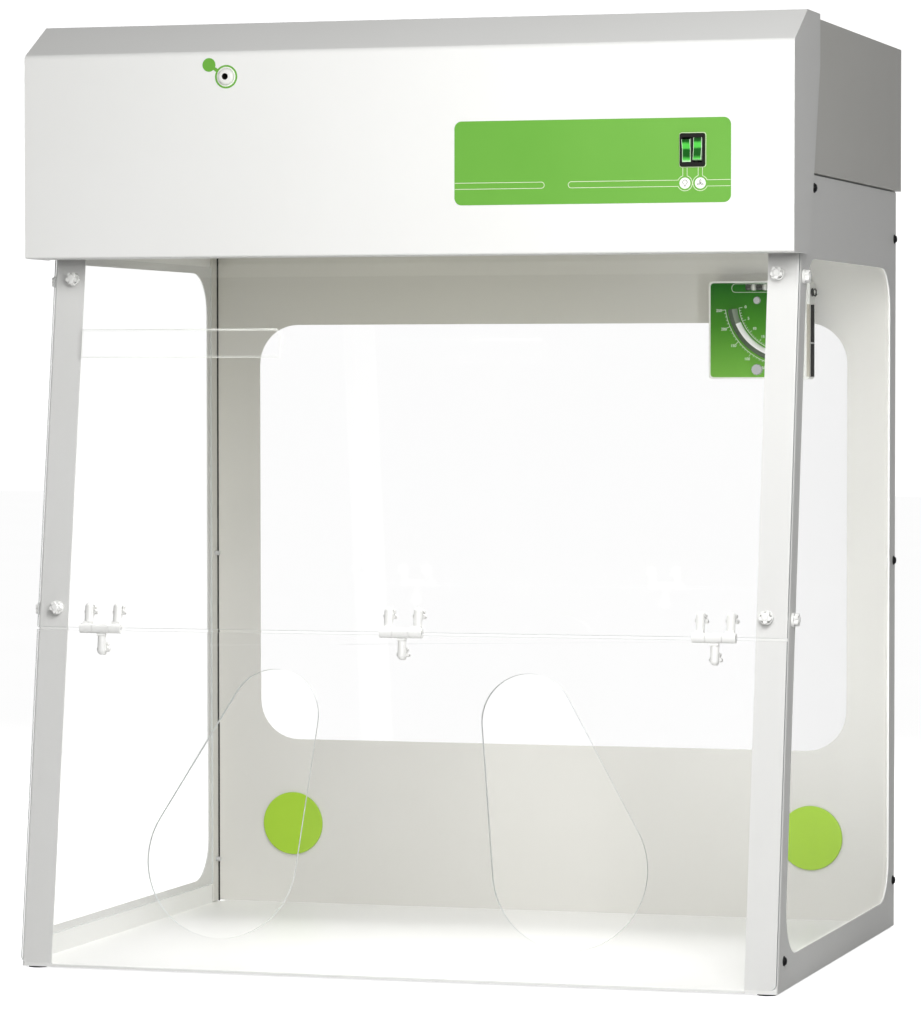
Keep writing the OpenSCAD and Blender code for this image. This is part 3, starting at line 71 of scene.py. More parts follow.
# wraps a node's output, so that shader and geometry sums read as plain sums
class Flow:
    def __init__(self, tree, node=None, out=0):
        self.tree = tree
        self.node = node
        self.socket = node.outputs[out] if node and len(node.outputs) else None

    def __getitem__(self, out):
        return Flow(self.tree, self.node, out)

    def add(self, kind, settings=None, links=None, out=0):
        node = self.tree.nodes.new(kind)
        for name, value in (settings or {}).items():
            if name == "stops":
                ramp = node.color_ramp.elements
                while len(ramp) < len(value):
                    ramp.new(0.5)
                for stop, (where, colour) in zip(ramp, value):
                    stop.position = where
                    stop.color = colour
            else:
                setattr(node, name, value)
        for name, value in (links or {}).items():
            if not isinstance(value, (Flow, list)):
                node.inputs[name].default_value = value
                continue
            for one in value if isinstance(value, list) else [value]:
                self.tree.links.new(one.socket, node.inputs[name])
        return Flow(self.tree, node, out)

    def sum(self, kind, other=0.0, swap=False):
        pair = (other, self) if swap else (self, other)
        return self.add("ShaderNodeMath", {"operation": kind}, {0: pair[0], 1: pair[1]})

    __add__ = partialmethod(sum, "ADD")
    __sub__ = partialmethod(sum, "SUBTRACT")
    __rsub__ = partialmethod(sum, "SUBTRACT", swap=True)
    __mul__ = partialmethod(sum, "MULTIPLY")
    __truediv__ = partialmethod(sum, "DIVIDE")
    __lt__ = partialmethod(sum, "LESS_THAN")
    __gt__ = partialmethod(sum, "GREATER_THAN")
    __abs__ = partialmethod(sum, "ABSOLUTE")


# a colour as a paint chart writes it, 0 to 255, for the shader
def tint(red, green, blue):
    def straight(value):
        value = value / 255
        return value / 12.92 if value <= 0.04045 else ((value + 0.055) / 1.055) ** 2.4
    return (straight(red), straight(green), straight(blue), 1.0)


def blendColour(share, first, second):
    return share.add("ShaderNodeMix", {"data_type": "RGBA"}, {0: share, 6: first, 7: second}, 2)


def toned(share, value):
    return blendColour(share, tint(*value["low"]), tint(*value["high"]))


def between(value, low, high):
    return (value > low) * (value < high)


def ramp(where, stops):
    return where.add("ShaderNodeValToRGB", {"stops": [(at, tint(*tone)) for at, tone in stops]}, {"Fac": where})


def noise(spot, scale, detail):
    return spot.add("ShaderNodeTexNoise", links={"Vector": spot["Object"], "Scale": scale, "Detail": detail})


def placeOf(spot):
    return spot.add("ShaderNodeSeparateXYZ", links={"Vector": spot["Object"]})


def surface(flow, colour, rough, rest=None):
    links = {"Base Color": colour, "Roughness": rough, **(rest or {})}
    return flow.add("ShaderNodeBsdfPrincipled", links=links)


def mixShader(share, first, second):
    return share.add("ShaderNodeMixShader", links={0: share, 1: first, 2: second})


def spread(share, low, high):
    return share * (high - low) + low


def grey(level):
    return (level, level, level, 1.0)


def relief(height, strength, distance):
    return height.add("ShaderNodeBump", links={"Strength": strength, "Distance": distance, "Height": height})


def vectors(kind, first, second, third=None):
    links = {0: first, 1: second} if third is None else {0: first, 1: second, 2: third}
    return first.add("ShaderNodeVectorMath", {"operation": kind}, links)


def scaled(vector, scale):
    return vector.add("ShaderNodeVectorMath", {"operation": "SCALE"}, {0: vector, "Scale": scale})


# the camera stands where the photograph was taken from
view = {"place": (1.35133, -4.66020, 0.60123), "turn": 16.85, "dip": 1.91, "roll": -0.03,
        "lens": 158.72, "sensor": 36.0, "shift": (0.0374, 0.0257)}

lens = bpy.data.cameras.new("camera")
lens.lens = view["lens"]
lens.sensor_width = view["sensor"]
lens.shift_x, lens.shift_y = view["shift"]
camera = newObject("camera", lens)
camera.matrix_world = (Matrix.Translation(view["place"])
                       @ Matrix.Rotation(math.radians(view["turn"]), 4, "Z")
                       @ Matrix.Rotation(math.radians(90 - view["dip"]), 4, "X")
                       @ Matrix.Rotation(math.radians(view["roll"]), 4, "Z"))
scene.camera = camera

# white studio: the eye and glass see white, gloss sees a white wall in a paler room, and the object gets a soft fill
studio = {"white": 1.13, "fill": 0.195, "room": 0.15, "floorGlow": 0.88, "floorGrey": 0.55, "floorBounce": 0.6,
          "floorSize": 40.0, "wallX": (-2.6, 0.75), "wallZ": (0.0, 2.6), "wallY": 2.3, "cloud": (1.5, 2.0),
          "cloudTone": 0.98, "lampDrop": 2.0}
lamps = {
    "key": {"place": (0.7, -1.8, 1.2), "aim": (0.05, 0.0, 0.55), "size": (1.0, 0.9), "power": 29.2},
    "low": {"place": (-0.9, -2.5, 0.55), "aim": (0.1, 0.2, 0.6), "size": (1.0, 0.6), "power": 3.0},
    "strip": {"place": (0.385, 0.0, 0.46), "aim": (0.35, 0.29, 0.46), "size": (0.02, 0.66), "power": 0.36,
              "spread": 110, "tint": (0.95, 0.97, 1.0)},
    "back": {"place": (-0.11, -0.12, 0.48), "aim": (-0.11, 0.29, 0.74), "size": (0.55, 0.08), "power": 0.2,
             "spread": 130, "tint": (1.0, 0.98, 0.72)},
    "rim": {"place": (-0.1, 1.9, 1.6), "aim": (0.0, 0.1, 0.3), "size": (1.6, 1.0), "power": 34.0},
    "hood": {"place": None, "aim": None, "size": (0.5, 0.06), "power": 1.85, "spread": 118},
}


# two shares: one where the eye sees straight to a thing or through glass, and one where gloss mirrors it
def waysSeen(flow):
    path = flow.add("ShaderNodeLightPath")
    through = path["Is Camera Ray"].sum("MAXIMUM", path["Is Transmission Ray"])
    first = path["Diffuse Depth"] < 0.5
    straight = through * first * (path["Glossy Depth"] < 0.5)
    return straight, through.sum("MAXIMUM", path["Is Glossy Ray"]) * first * (1 - straight)


world = bpy.data.worlds.new("studio")
world.use_nodes = True
world.node_tree.nodes.clear()
scene.world = world
flow = Flow(world.node_tree)
straight, gloss = waysSeen(flow)
level = straight * studio["white"] + gloss * studio["room"] + (1 - straight - gloss) * studio["fill"]
light = flow.add("ShaderNodeBackground", links={"Color": (1, 1, 1, 1), "Strength": level})
flow.add("ShaderNodeOutputWorld", links={"Surface": light})

under = middleOf("lamp_diffuser")
under.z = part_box("lamp_diffuser")[0].z - studio["lampDrop"] * mm
lamps["hood"].update({"place": under, "aim": under - Vector((0, 0, 1))})
for name, value in lamps.items():
    lamp = bpy.data.lights.new(name, "AREA")
    lamp.spread = math.radians(value.get("spread", 180))
    lamp.color = value.get("tint", (1, 1, 1))
    lamp.shape = "RECTANGLE"
    lamp.size, lamp.size_y = value["size"]
    lamp.energy = value["power"]
    holder = newObject(name, lamp)
    facing = (Vector(value["aim"]) - Vector(value["place"])).to_track_quat("-Z", "Y")
    holder.matrix_world = Matrix.Translation(value["place"]) @ facing.to_matrix().to_4x4()
    holder.visible_camera = False
    holder.visible_glossy = name == "key"
    holder.visible_transmission = False


def newFinish(name, build):
    made = bpy.data.materials.new(name)
    made.use_nodes = True
    made.node_tree.nodes.clear()
    flow = Flow(made.node_tree)
    spot = flow.add("ShaderNodeTexCoord")
    flow.add("ShaderNodeOutputMaterial", links={"Surface": build(flow, spot)})
    return made


def whiteGlow(spot, strength):
    pale = blendColour(noise(spot, *studio["cloud"]), grey(studio["cloudTone"]), grey(1.0))
    return spot.add("ShaderNodeEmission", links={"Color": pale, "Strength": strength})


def floorPaint(flow, spot):
    straight, gloss = waysSeen(flow)
    soft = flow.add("ShaderNodeBsdfDiffuse", links={"Color": grey(studio["floorBounce"])})
    shade = flow.add("ShaderNodeBsdfDiffuse", links={"Color": grey(studio["floorGrey"])})
    shown = flow.add("ShaderNodeAddShader", links={0: whiteGlow(spot, studio["floorGlow"]), 1: shade})
    unseen = mixShader(gloss, soft, whiteGlow(spot, studio["room"]))
    return mixShader(straight, unseen, shown)


def wallPaint(flow, spot):
    return whiteGlow(spot, studio["white"])


def stageSheet(name, corners, build):
    sheet = bpy.data.meshes.new(name)
    sheet.from_pydata(corners, [], [(0, 1, 2, 3)])
    sheet.materials.append(newFinish(name + "Paint", build))
    piece = newObject(name, sheet)
    return piece


half = studio["floorSize"] / 2
stageSheet("floor", [(-half, -half, 0), (half, -half, 0), (half, half, 0), (-half, half, 0)], floorPaint)
(left, right), (foot, head), back = studio["wallX"], studio["wallZ"], studio["wallY"]
wall = stageSheet("wall", [(left, back, foot), (right, back, foot), (right, back, head), (left, back, head)], wallPaint)
wall.visible_camera = False  # only gloss and glass show the wall, so every view keeps its white ground
wall.visible_diffuse = False
wall.visible_shadow = False
print("camera, studio and floor ready")


# painted and moulded finishes: a cloudy colour, a fine grain in the gloss and in the surface
coated = {
    "whitePaint": {"low": (236, 236, 233), "high": (241, 241, 239), "cloud": 5, "grain": 850, "rough": (0.36, 0.5),
                   "bump": 0.22, "depth": 0.00025},
    "greyPaint": {"low": (213, 212, 206), "high": (221, 220, 215), "cloud": 5, "grain": 850, "rough": (0.38, 0.52),
                  "bump": 0.22, "depth": 0.00025},
    "whiteNylon": {"low": (240, 240, 237), "high": (247, 247, 245), "cloud": 60, "grain": 1600, "rough": (0.34, 0.46),
                   "bump": 0.12, "depth": 0.0001},
    "whitePlastic": {"low": (232, 232, 227), "high": (240, 240, 236), "cloud": 25, "grain": 1400,
                     "rough": (0.28, 0.4), "bump": 0.1, "depth": 0.0001},
    "blackPlastic": {"low": (14, 12, 12), "high": (22, 19, 18), "cloud": 40, "grain": 1500, "rough": (0.38, 0.55),
                     "bump": 0.2, "depth": 0.0001, "shine": 0.2},
    "blackOxide": {"low": (20, 20, 21), "high": (38, 38, 40), "cloud": 120, "grain": 2200, "rough": (0.32, 0.5),
                   "bump": 0.15, "depth": 0.0001, "metal": 0.6},
    "rubber": {"low": (28, 28, 28), "high": (44, 44, 43), "cloud": 80, "grain": 1800, "rough": (0.7, 0.9),
               "bump": 0.35, "depth": 0.0002},
    "greenVinyl": {"low": (103, 171, 59), "high": (115, 179, 71), "cloud": 9, "grain": 1300, "rough": (0.42, 0.56),
                   "bump": 0.12, "depth": 0.0001, "shine": 0.25},
    "greenCap": {"low": (160, 202, 48), "high": (168, 209, 60), "cloud": 18, "grain": 1100, "rough": (0.36, 0.5),
                 "bump": 0.16, "depth": 0.00015},
    "motorPaint": {"low": (66, 68, 72), "high": (86, 88, 92), "cloud": 14, "grain": 420, "rough": (0.42, 0.6),
                   "bump": 0.4, "depth": 0.0004},
    "opal": {"low": (242, 242, 236), "high": (248, 248, 244), "cloud": 20, "grain": 900, "rough": (0.3, 0.42),
             "bump": 0.08, "depth": 0.0001},
}
ink = {"cloud": 200, "grain": 3000, "rough": (0.4, 0.55), "bump": 0.05, "depth": 0.00005}
for name, low, high in (("whiteInk", (244, 245, 238), (251, 252, 246)), ("paleInk", (230, 241, 205), (241, 248, 222)),
                        ("greyInk", (96, 100, 94), (118, 122, 114))):
    coated[name] = {"low": low, "high": high, **ink}


def coatedPaint(value):
    def build(flow, spot):
        cloud = noise(spot, value["cloud"], 4.0)
        grain = noise(spot, value["grain"], 2.0)
        return surface(flow, toned(cloud, value), spread(grain, *value["rough"]),
                       {"Metallic": value.get("metal", 0.0), "Specular IOR Level": value.get("shine", 0.5),
                        "Normal": relief(grain, value["bump"], value["depth"])})
    return build


finishes = {name: newFinish(name, coatedPaint(value)) for name, value in coated.items()}

# bare metals: crystal flakes on galvanised sheet, drawn streaks on plated and brass parts
metals = {
    "galvanised": {"low": (150, 154, 158), "high": (186, 190, 194), "flake": 95, "streak": 0.0, "rough": (0.3, 0.5)},
    "zinc": {"low": (176, 178, 182), "high": (214, 216, 219), "flake": 700, "streak": 0.35, "rough": (0.2, 0.36)},
    "chrome": {"low": (208, 209, 211), "high": (232, 233, 234), "flake": 90, "streak": 0.7, "rough": (0.16, 0.26),
               "metal": 0.4},
    "brass": {"low": (190, 150, 70), "high": (216, 178, 96), "flake": 600, "streak": 0.35, "rough": (0.22, 0.38)},
}
drawnLines = {"scale": (2600, 2600, 60), "detail": 2.0, "bump": 0.1, "depth": 0.0001}


def bareMetal(value):
    def build(flow, spot):
        flake = flow.add("ShaderNodeTexVoronoi", {}, {"Vector": spot["Object"], "Scale": value["flake"]}, "Color")
        tone = flow.add("ShaderNodeSeparateColor", links={"Color": flake})
        drawn = flow.add("ShaderNodeMapping", links={"Vector": spot["Object"], "Scale": drawnLines["scale"]})
        streak = flow.add("ShaderNodeTexNoise", links={"Vector": drawn, "Scale": 1.0, "Detail": drawnLines["detail"]})
        mixed = tone * (1 - value["streak"]) + streak * value["streak"]
        lines = relief(mixed, drawnLines["bump"], drawnLines["depth"])
        return surface(flow, toned(mixed, value), spread(mixed, *value["rough"]),
                       {"Metallic": value.get("metal", 1.0), "Normal": lines})
    return build


for name, value in metals.items():
    finishes[name] = newFinish(name, bareMetal(value))

# clear panes: smeared gloss on the faces, sawn matt edges, light passes for shadows
acrylic = {"ior": 1.49, "sideIor": 1.06, "smear": 0.035, "low": (206, 211, 210), "high": (226, 230, 229),
           "edgePass": 0.35, "shadow": 0.95, "lean": 8.1, "cloud": (11.0, 5.0), "smearFrom": (0.55, 0.75),
           "saw": (700.0, 3.0), "edgeRough": (0.3, 0.5), "facing": 0.5}
lean = math.radians(acrylic["lean"])  # how far the front panes lean back


def clearPane(across, ior):
    def build(flow, spot):
        start, end = acrylic["smearFrom"]
        smear = flow.add("ShaderNodeMapRange", links={
            "Value": noise(spot, *acrylic["cloud"]), "From Min": start, "From Max": end, "To Min": 0.0,
            "To Max": acrylic["smear"]})
        face = surface(flow, (1, 1, 1, 1), smear, {"IOR": ior, "Transmission Weight": 1.0})
        facing = vectors("DOT_PRODUCT", spot["Normal"], across)["Value"]
        saw = noise(spot, *acrylic["saw"])
        edge = surface(flow, toned(saw, acrylic), spread(saw, *acrylic["edgeRough"]),
                       {"IOR": ior, "Transmission Weight": acrylic["edgePass"]})
        body = mixShader(abs(facing) < acrylic["facing"], face, edge)
        through = flow.add("ShaderNodeBsdfTransparent", links={"Color": grey(acrylic["shadow"])})
        path = flow.add("ShaderNodeLightPath")
        passing = path["Is Shadow Ray"].sum("MAXIMUM", path["Is Diffuse Ray"])
        return mixShader(passing, body, through)
    return build


for name, across, ior in (("sashPane", (0, math.cos(lean), -math.sin(lean)), acrylic["ior"]),
                          ("sidePane", (1, 0, 0), acrylic["sideIor"]), ("rearPane", (0, 1, 0), acrylic["ior"])):
    finishes[name] = newFinish(name, clearPane(across, ior))

# rockers: a green lens with painted highlights, brighter green bars across it and a pale bottom edge, painted shade
# darkening its upper end, and pale side ends
rocker = {"deep": (12, 92, 18), "bright": (84, 206, 76), "pale": (206, 240, 200), "dark": (8, 58, 12), "edge": 0.44,
          "cloud": (420.0, 2.0), "waver": 0.06, "rough": (0.1, 0.24), "coat": 0.6,
          "bands": ((0.0, "pale"), (0.1, "bright"), (0.24, "deep"), (0.52, "deep"), (0.6, "bright"), (0.76, "bright"),
                    (0.86, "deep"), (1.0, "dark"))}


def rockerLens(node):
    low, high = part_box(node)

    def build(flow, spot):
        place = placeOf(spot)
        up = (place["Z"] - low.z) / (high.z - low.z)
        across = abs((place["X"] - (low.x + high.x) / 2) / (high.x - low.x))
        cloud = noise(spot, *rocker["cloud"])
        # the brighter green bands and the pale bottom edge are painted highlights, the dark upper end is painted shade
        bands = ramp(up + (cloud - 0.5) * rocker["waver"], [(at, rocker[tone]) for at, tone in rocker["bands"]])
        return surface(flow, blendColour(across > rocker["edge"], bands, tint(*rocker["pale"])),
                       spread(cloud, *rocker["rough"]), {"Coat Weight": rocker["coat"]})
    return build


for node in ("light_rocker", "fan_rocker"):
    finishes[node] = newFinish(node, rockerLens(node))

# gauge face: dark green above, light green below, painted shade darkening the green upwards, inside a white border
dial = {"top": (10, 100, 0), "middle": (66, 140, 24), "foot": (120, 186, 70), "border": (240, 241, 236), "rim": 2.0,
        "corner": 4.0, "margin": 9.0, "groove": 3.4, "grooveTone": (186, 181, 168), "slotFoot": 2.8, "slotHead": 25.8,
        "tubeMiddle": (33.5, 32.0), "fluid": (57.0, 63.3), "fluidTop": -156.5, "fluidTone": (250, 250, 248),
        "bore": 63.0, "tube": (66, 80, 62), "tubeLight": (128, 142, 122), "printed": 0.2, "slotAcross": (8.4, 0.05),
        "slotDeep": (1.8, 22.2), "barb": (0.1, 3.9), "gasket": (34, 33, 29), "turns": (0.0, 0.55, 0.97),
        "cloud": (160.0, 3.0), "waver": 0.02, "rough": (0.3, 0.42), "shine": 0.2, "bodyRough": (0.26, 0.4),
        "tubeCloud": (260.0, 3.0), "tubeMix": 0.3, "tubeRough": (0.06, 0.16), "coat": 0.8}
dialLow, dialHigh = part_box("gauge_plate")
dialMiddle = middleOf("gauge_plate")


def gaugeFace(flow, spot):
    place = placeOf(spot)
    up = (place["Z"] - dialLow.z) / (dialHigh.z - dialLow.z)
    cloud = noise(spot, *dial["cloud"])
    # the ramp darkens the green upwards: painted shade
    greens = zip(dial["turns"], (dial["foot"], dial["middle"], dial["top"]))
    green = ramp(up + (cloud - 0.5) * dial["waver"], greens)
    inset = (dial["rim"] + dial["corner"]) * mm
    wide = (abs(place["X"] - dialMiddle.x) - ((dialHigh.x - dialLow.x) / 2 - inset)).sum("MAXIMUM", 0.0)
    tall = (abs(place["Z"] - dialMiddle.z) - ((dialHigh.z - dialLow.z) / 2 - inset)).sum("MAXIMUM", 0.0)
    outside = (wide * wide + tall * tall).sum("SQRT") > dial["corner"] * mm
    margin = place["X"] > dialHigh.x - dial["margin"] * mm
    behind = place["Y"] > dialLow.y + dial["printed"] * mm
    # a darker beige strip on the border at the right end: painted shade of a recessed slot
    groove = ((place["X"] > dialHigh.x - dial["groove"] * mm)
              * between(place["Z"], dialLow.z + dial["slotFoot"] * mm, dialHigh.z - dial["slotHead"] * mm))
    rim = outside.sum("MAXIMUM", margin).sum("MAXIMUM", behind)
    edged = blendColour(groove, tint(*dial["border"]), tint(*dial["grooveTone"]))
    return surface(flow, blendColour(rim, green, edged), spread(cloud, *dial["rough"]),
                   {"Specular IOR Level": dial["shine"]})


def gaugeTube(flow, spot):
    place = placeOf(spot)
    x = place["X"] - (dialMiddle.x + dial["tubeMiddle"][0] * mm)
    z = place["Z"] - (dialMiddle.z + dial["tubeMiddle"][1] * mm)
    out = (x * x + z * z).sum("SQRT")
    turned = z.sum("ARCTAN2", x)
    cloud = noise(spot, *dial["tubeCloud"])
    shaded = blendColour(out > dial["bore"] * mm, tint(*dial["tubeLight"]), tint(*dial["tube"]))
    glass = blendColour(cloud * dial["tubeMix"], shaded, tint(*dial["tubeLight"]))
    fluid = between(out, dial["fluid"][0] * mm, dial["fluid"][1] * mm) * (turned > math.radians(dial["fluidTop"]))
    return surface(flow, blendColour(fluid, glass, tint(*dial["fluidTone"])), spread(cloud, *dial["tubeRough"]),
                   {"Coat Weight": dial["coat"]})


# level vial: dark spirit with two pale bands, painted highlights
vial = {"bands": ((0.0, (38, 42, 36)), (0.2, (70, 76, 66)), (0.3, (234, 236, 230)), (0.42, (40, 44, 38)),
                  (0.62, (44, 50, 42)), (0.74, (236, 238, 232)), (0.88, (64, 70, 60))),
        "cloud": (300.0, 2.0), "waver": 0.05, "rough": (0.08, 0.18), "coat": 0.8}


def levelVial(flow, spot):
    low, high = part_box("gauge_vial")
    place = placeOf(spot)
    along = (place["X"] - low.x) / (high.x - low.x)
    cloud = noise(spot, *vial["cloud"])
    return surface(flow, ramp(along + (cloud - 0.5) * vial["waver"], vial["bands"]), spread(cloud, *vial["rough"]),
                   {"Coat Weight": vial["coat"]})


# gauge body: off-white moulding with a dark strip in the slot at its end, and dark barbs
def gaugeBody(flow, spot):
    place = placeOf(spot)
    plain = coated["whitePlastic"]
    cloud = noise(spot, plain["cloud"], 4.0)
    grain = noise(spot, plain["grain"], 2.0)
    (inner, outer), (front, rear), (near, far) = dial["slotAcross"], dial["slotDeep"], dial["barb"]
    slot = (between(place["X"], dialHigh.x - inner * mm, dialHigh.x - outer * mm)
            * between(place["Y"], dialHigh.y + front * mm, dialHigh.y + rear * mm)
            * between(place["Z"], dialLow.z + dial["slotFoot"] * mm, dialHigh.z - dial["slotHead"] * mm))
    dark = slot.sum("MAXIMUM", between(place["X"], dialHigh.x + near * mm, dialHigh.x + far * mm))
    white = toned(cloud, plain)
    return surface(flow, blendColour(dark, white, tint(*dial["gasket"])), spread(grain, *dial["bodyRough"]),
                   {"Normal": relief(grain, plain["bump"], plain["depth"])})


# sampling port: white boss, its bore painted dark as painted shade
boss = {"bore": 3.3, "dark": (26, 24, 18)}
bossMiddle = middleOf("sampling_port")


def portBoss(flow, spot):
    place = placeOf(spot)
    x = place["X"] - bossMiddle.x
    z = place["Z"] - bossMiddle.z
    plain = coated["whitePlastic"]
    grain = noise(spot, plain["grain"], 2.0)
    # the bore is painted dark: painted shade in the hole
    bore = (x * x + z * z).sum("SQRT") < boss["bore"] * mm
    white = toned(grain, plain)
    return surface(flow, blendColour(bore, white, tint(*boss["dark"])), spread(grain, *plain["rough"]))


# carbon bed: a heap of dark grains
carbon = {"grain": 330.0, "cloud": (160.0, 3.0), "low": (22, 22, 23), "high": (52, 52, 54), "rough": (0.4, 0.7),
          "bump": 0.9, "depth": 0.0015}


def carbonGrains(flow, spot):
    grain = flow.add("ShaderNodeTexVoronoi", links={"Vector": spot["Object"], "Scale": carbon["grain"]})
    tone = noise(spot, *carbon["cloud"])
    return surface(flow, toned(tone, carbon), spread(tone, *carbon["rough"]),
                   {"Normal": relief(1 - grain, carbon["bump"], carbon["depth"])})


# prefilter: pale fleece with fibres drawn one way
fleece = {"drawn": (900, 240, 900), "detail": 4.0, "twist": 1.5, "cloud": (26.0, 4.0), "mix": (0.6, 0.4),
          "low": (206, 208, 200), "high": (244, 245, 240), "rough": (0.8, 0.95), "sheen": 0.4, "bump": 0.7,
          "depth": 0.001}


def fleeceFibre(flow, spot):
    drawn = flow.add("ShaderNodeMapping", links={"Vector": spot["Object"], "Scale": fleece["drawn"]})
    fibre = flow.add("ShaderNodeTexNoise", links={"Vector": drawn, "Scale": 1.0, "Detail": fleece["detail"],
                                                  "Distortion": fleece["twist"]})
    tone = fibre * fleece["mix"][0] + noise(spot, *fleece["cloud"]) * fleece["mix"][1]
    loft = relief(fibre, fleece["bump"], fleece["depth"])
    return surface(flow, toned(tone, fleece), spread(fibre, *fleece["rough"]),
                   {"Sheen Weight": fleece["sheen"], "Normal": loft})


# leads: a black jacket with some dust
jacket = {"grain": (900.0, 2.0), "dust": (70.0, 4.0), "low": (24, 24, 25), "high": (44, 44, 45),
          "rough": (0.45, 0.65), "bump": 0.2, "depth": 0.0001}


def leadJacket(flow, spot):
    grain = noise(spot, *jacket["grain"])
    return surface(flow, toned(noise(spot, *jacket["dust"]), jacket), spread(grain, *jacket["rough"]),
                   {"Normal": relief(grain, jacket["bump"], jacket["depth"])})


# sticker: clear film with a slight haze
haze = {"tone": 0.95, "cloud": (60.0, 4.0), "rough": (0.25, 0.45), "alpha": (0.01, 0.04)}


def clearFilm(flow, spot):
    cloud = noise(spot, *haze["cloud"])
    return surface(flow, grey(haze["tone"]), spread(cloud, *haze["rough"]),
                   {"Alpha": spread(cloud, *haze["alpha"])})


# frame screws: dark heads outside the cabinet, plated shanks inside it
screw = {"shankEnd": 399.6, "low": (196, 197, 199), "high": (222, 223, 224), "metal": 0.4, "cloud": (900.0, 2.0),
         "rough": (0.32, 0.47)}


def frameScrew(flow, spot):
    place = placeOf(spot)
    cloud = noise(spot, *screw["cloud"])
    shank = abs(place["X"]) < screw["shankEnd"] * mm
    dark = toned(cloud, coated["blackOxide"])
    plated = toned(cloud, screw)
    return surface(flow, blendColour(shank, dark, plated), spread(cloud, *screw["rough"]),
                   {"Metallic": screw["metal"]})


for build in (frameScrew, gaugeFace, gaugeTube, levelVial, gaugeBody, portBoss, carbonGrains, fleeceFibre,
              leadJacket, clearFilm):
    finishes[build.__name__] = newFinish(build.__name__, build)

# most slots have a finish of the same name
slotFinish = {"carbon": "carbonGrains", "fleece": "fleeceFibre", "diffuser": "opal", "motor": "motorPaint"}
nodeFinish = {
    "upper_pane": "sashPane", "lower_pane": "sashPane", "left_side_window": "sidePane",
    "right_side_window": "sidePane", "rear_window": "rearPane", "light_rocker": "light_rocker",
    "fan_rocker": "fan_rocker", "gauge_plate": "gaugeFace", "gauge_tube": "gaugeTube", "gauge_vial": "levelVial",
    "gauge_body": "gaugeBody", "gauge_screw": "chrome", "gauge_zero_knob": "chrome", "sampling_port": "portBoss",
    "left_frame_screws": "frameScrew", "right_frame_screws": "frameScrew",
}
for name, node in nodes.items():
    first, *rest = slotOf[name].split("_")
    plain = first + "".join(word.title() for word in rest)
    node.data.materials.clear()
    node.data.materials.append(finishes[nodeFinish.get(name) or slotFinish.get(slotOf[name], plain)])
print("finishes on every node:", len(finishes))


def putIn(name, mesh, body, slot, finish=None):
    piece = newObject(name, mesh)
    if finish:
        mesh.materials.clear()
        mesh.materials.append(finishes[finish])
    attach(piece, body)
    return piece


def meshFrom(work, name):
    mesh = bpy.data.meshes.new(name)
    work.to_mesh(mesh)
    work.free()
    return mesh


# the plain mesh of an object as its modifiers leave it; the object itself goes
def settled(holder):
    made = bpy.data.meshes.new_from_object(holder.evaluated_get(bpy.context.evaluated_depsgraph_get()))
    bpy.data.objects.remove(holder)
    return made


# pieces with broken edges: how far each edge is rounded, in millimetres
softened = {
    "left_side_frame": 0.45, "right_side_frame": 0.45, "floor_tray": 0.4, "rear_panel": 0.4, "fascia_panel": 0.5,
    "top_cover": 0.6, "ceiling": 0.4, "blower_deck": 0.4, "filter_cassette": 0.6, "motor_bridge": 0.5,
    "lamp_housing": 0.8, "lamp_diffuser": 0.8, "driver_box": 1.6, "power_inlet": 0.5, "blower_motor": 1.2,
    "foot_pads": 0.4, "left_frame_screws": 0.35, "right_frame_screws": 0.35,
    "fixed_hinge_leaves": 0.7, "moving_hinge_leaves": 0.7, "fixed_star_nuts": 0.5, "moving_star_nuts": 0.5,
    **{f"{face}_knob_{height}_{side}": 0.5 for face in ("front", "side") for height in ("high", "low")
       for side in ("left", "right")},
    "captive_nuts": 0.3, "switch_bezel": 0.5,
    "light_rocker": 0.6, "fan_rocker": 0.6, "sampling_port": 0.5, "gauge_body": 0.7, "gauge_plate": 0.4,
    "gauge_zero_knob": 0.3, "gauge_screw": 0.3, "left_port_cap": 0.7, "right_port_cap": 0.7,
    "lift_fixed_leaves": 0.25, "lift_moving_leaves": 0.25, "inlet_ring": 0.4, "impeller": 0.4,
}
edging = {"weld": 0.004, "flat": 0.5, "sharp": 38, "segments": 2, "weight": 100}


def soften(name, width):
    mesh = nodes[name].data.copy()
    work = bmesh.new()
    work.from_mesh(mesh)
    bmesh.ops.remove_doubles(work, verts=work.verts, dist=edging["weld"] * mm)
    bmesh.ops.dissolve_limit(work, angle_limit=math.radians(edging["flat"]), verts=work.verts, edges=work.edges)
    work.to_mesh(mesh)
    work.free()
    rough = newObject(name + "_rough", mesh)
    edges = rough.modifiers.new("edges", "BEVEL")
    edges.width = width * mm
    edges.segments = edging["segments"]
    edges.limit_method = "ANGLE"
    edges.angle_limit = math.radians(edging["sharp"])
    edges.use_clamp_overlap = True
    level = rough.modifiers.new("level", "WEIGHTED_NORMAL")  # flat faces stay flat beside the rounded edges
    level.weight = edging["weight"]
    mesh.shade_smooth()
    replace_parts(putIn(name + "_soft", settled(rough), bodyOf[name], slotOf[name]), name)


for name, width in softened.items():
    soften(name, width)
print("edges rounded on", len(softened), "pieces")


# geometry trees: an object goes in, its named sizes are set, a plain mesh comes out
def newTree(name, sizes):
    tree = bpy.data.node_groups.new(name, "GeometryNodeTree")
    tree.interface.new_socket("Geometry", in_out="INPUT", socket_type="NodeSocketGeometry")
    for label, kind in list(sizes.items()) + [("Finish", "Material")]:
        tree.interface.new_socket(label, in_out="INPUT", socket_type="NodeSocket" + kind)
    tree.interface.new_socket("Geometry", in_out="OUTPUT", socket_type="NodeSocketGeometry")
    flow = Flow(tree)
    return tree, flow, flow.add("NodeGroupInput")


def endTree(flow, given, shape):
    real = flow.add("GeometryNodeRealizeInstances", links={"Geometry": shape})
    done = flow.add("GeometryNodeSetMaterial", links={"Geometry": real, "Material": given["Finish"]})
    flow.add("NodeGroupOutput", links={"Geometry": done})


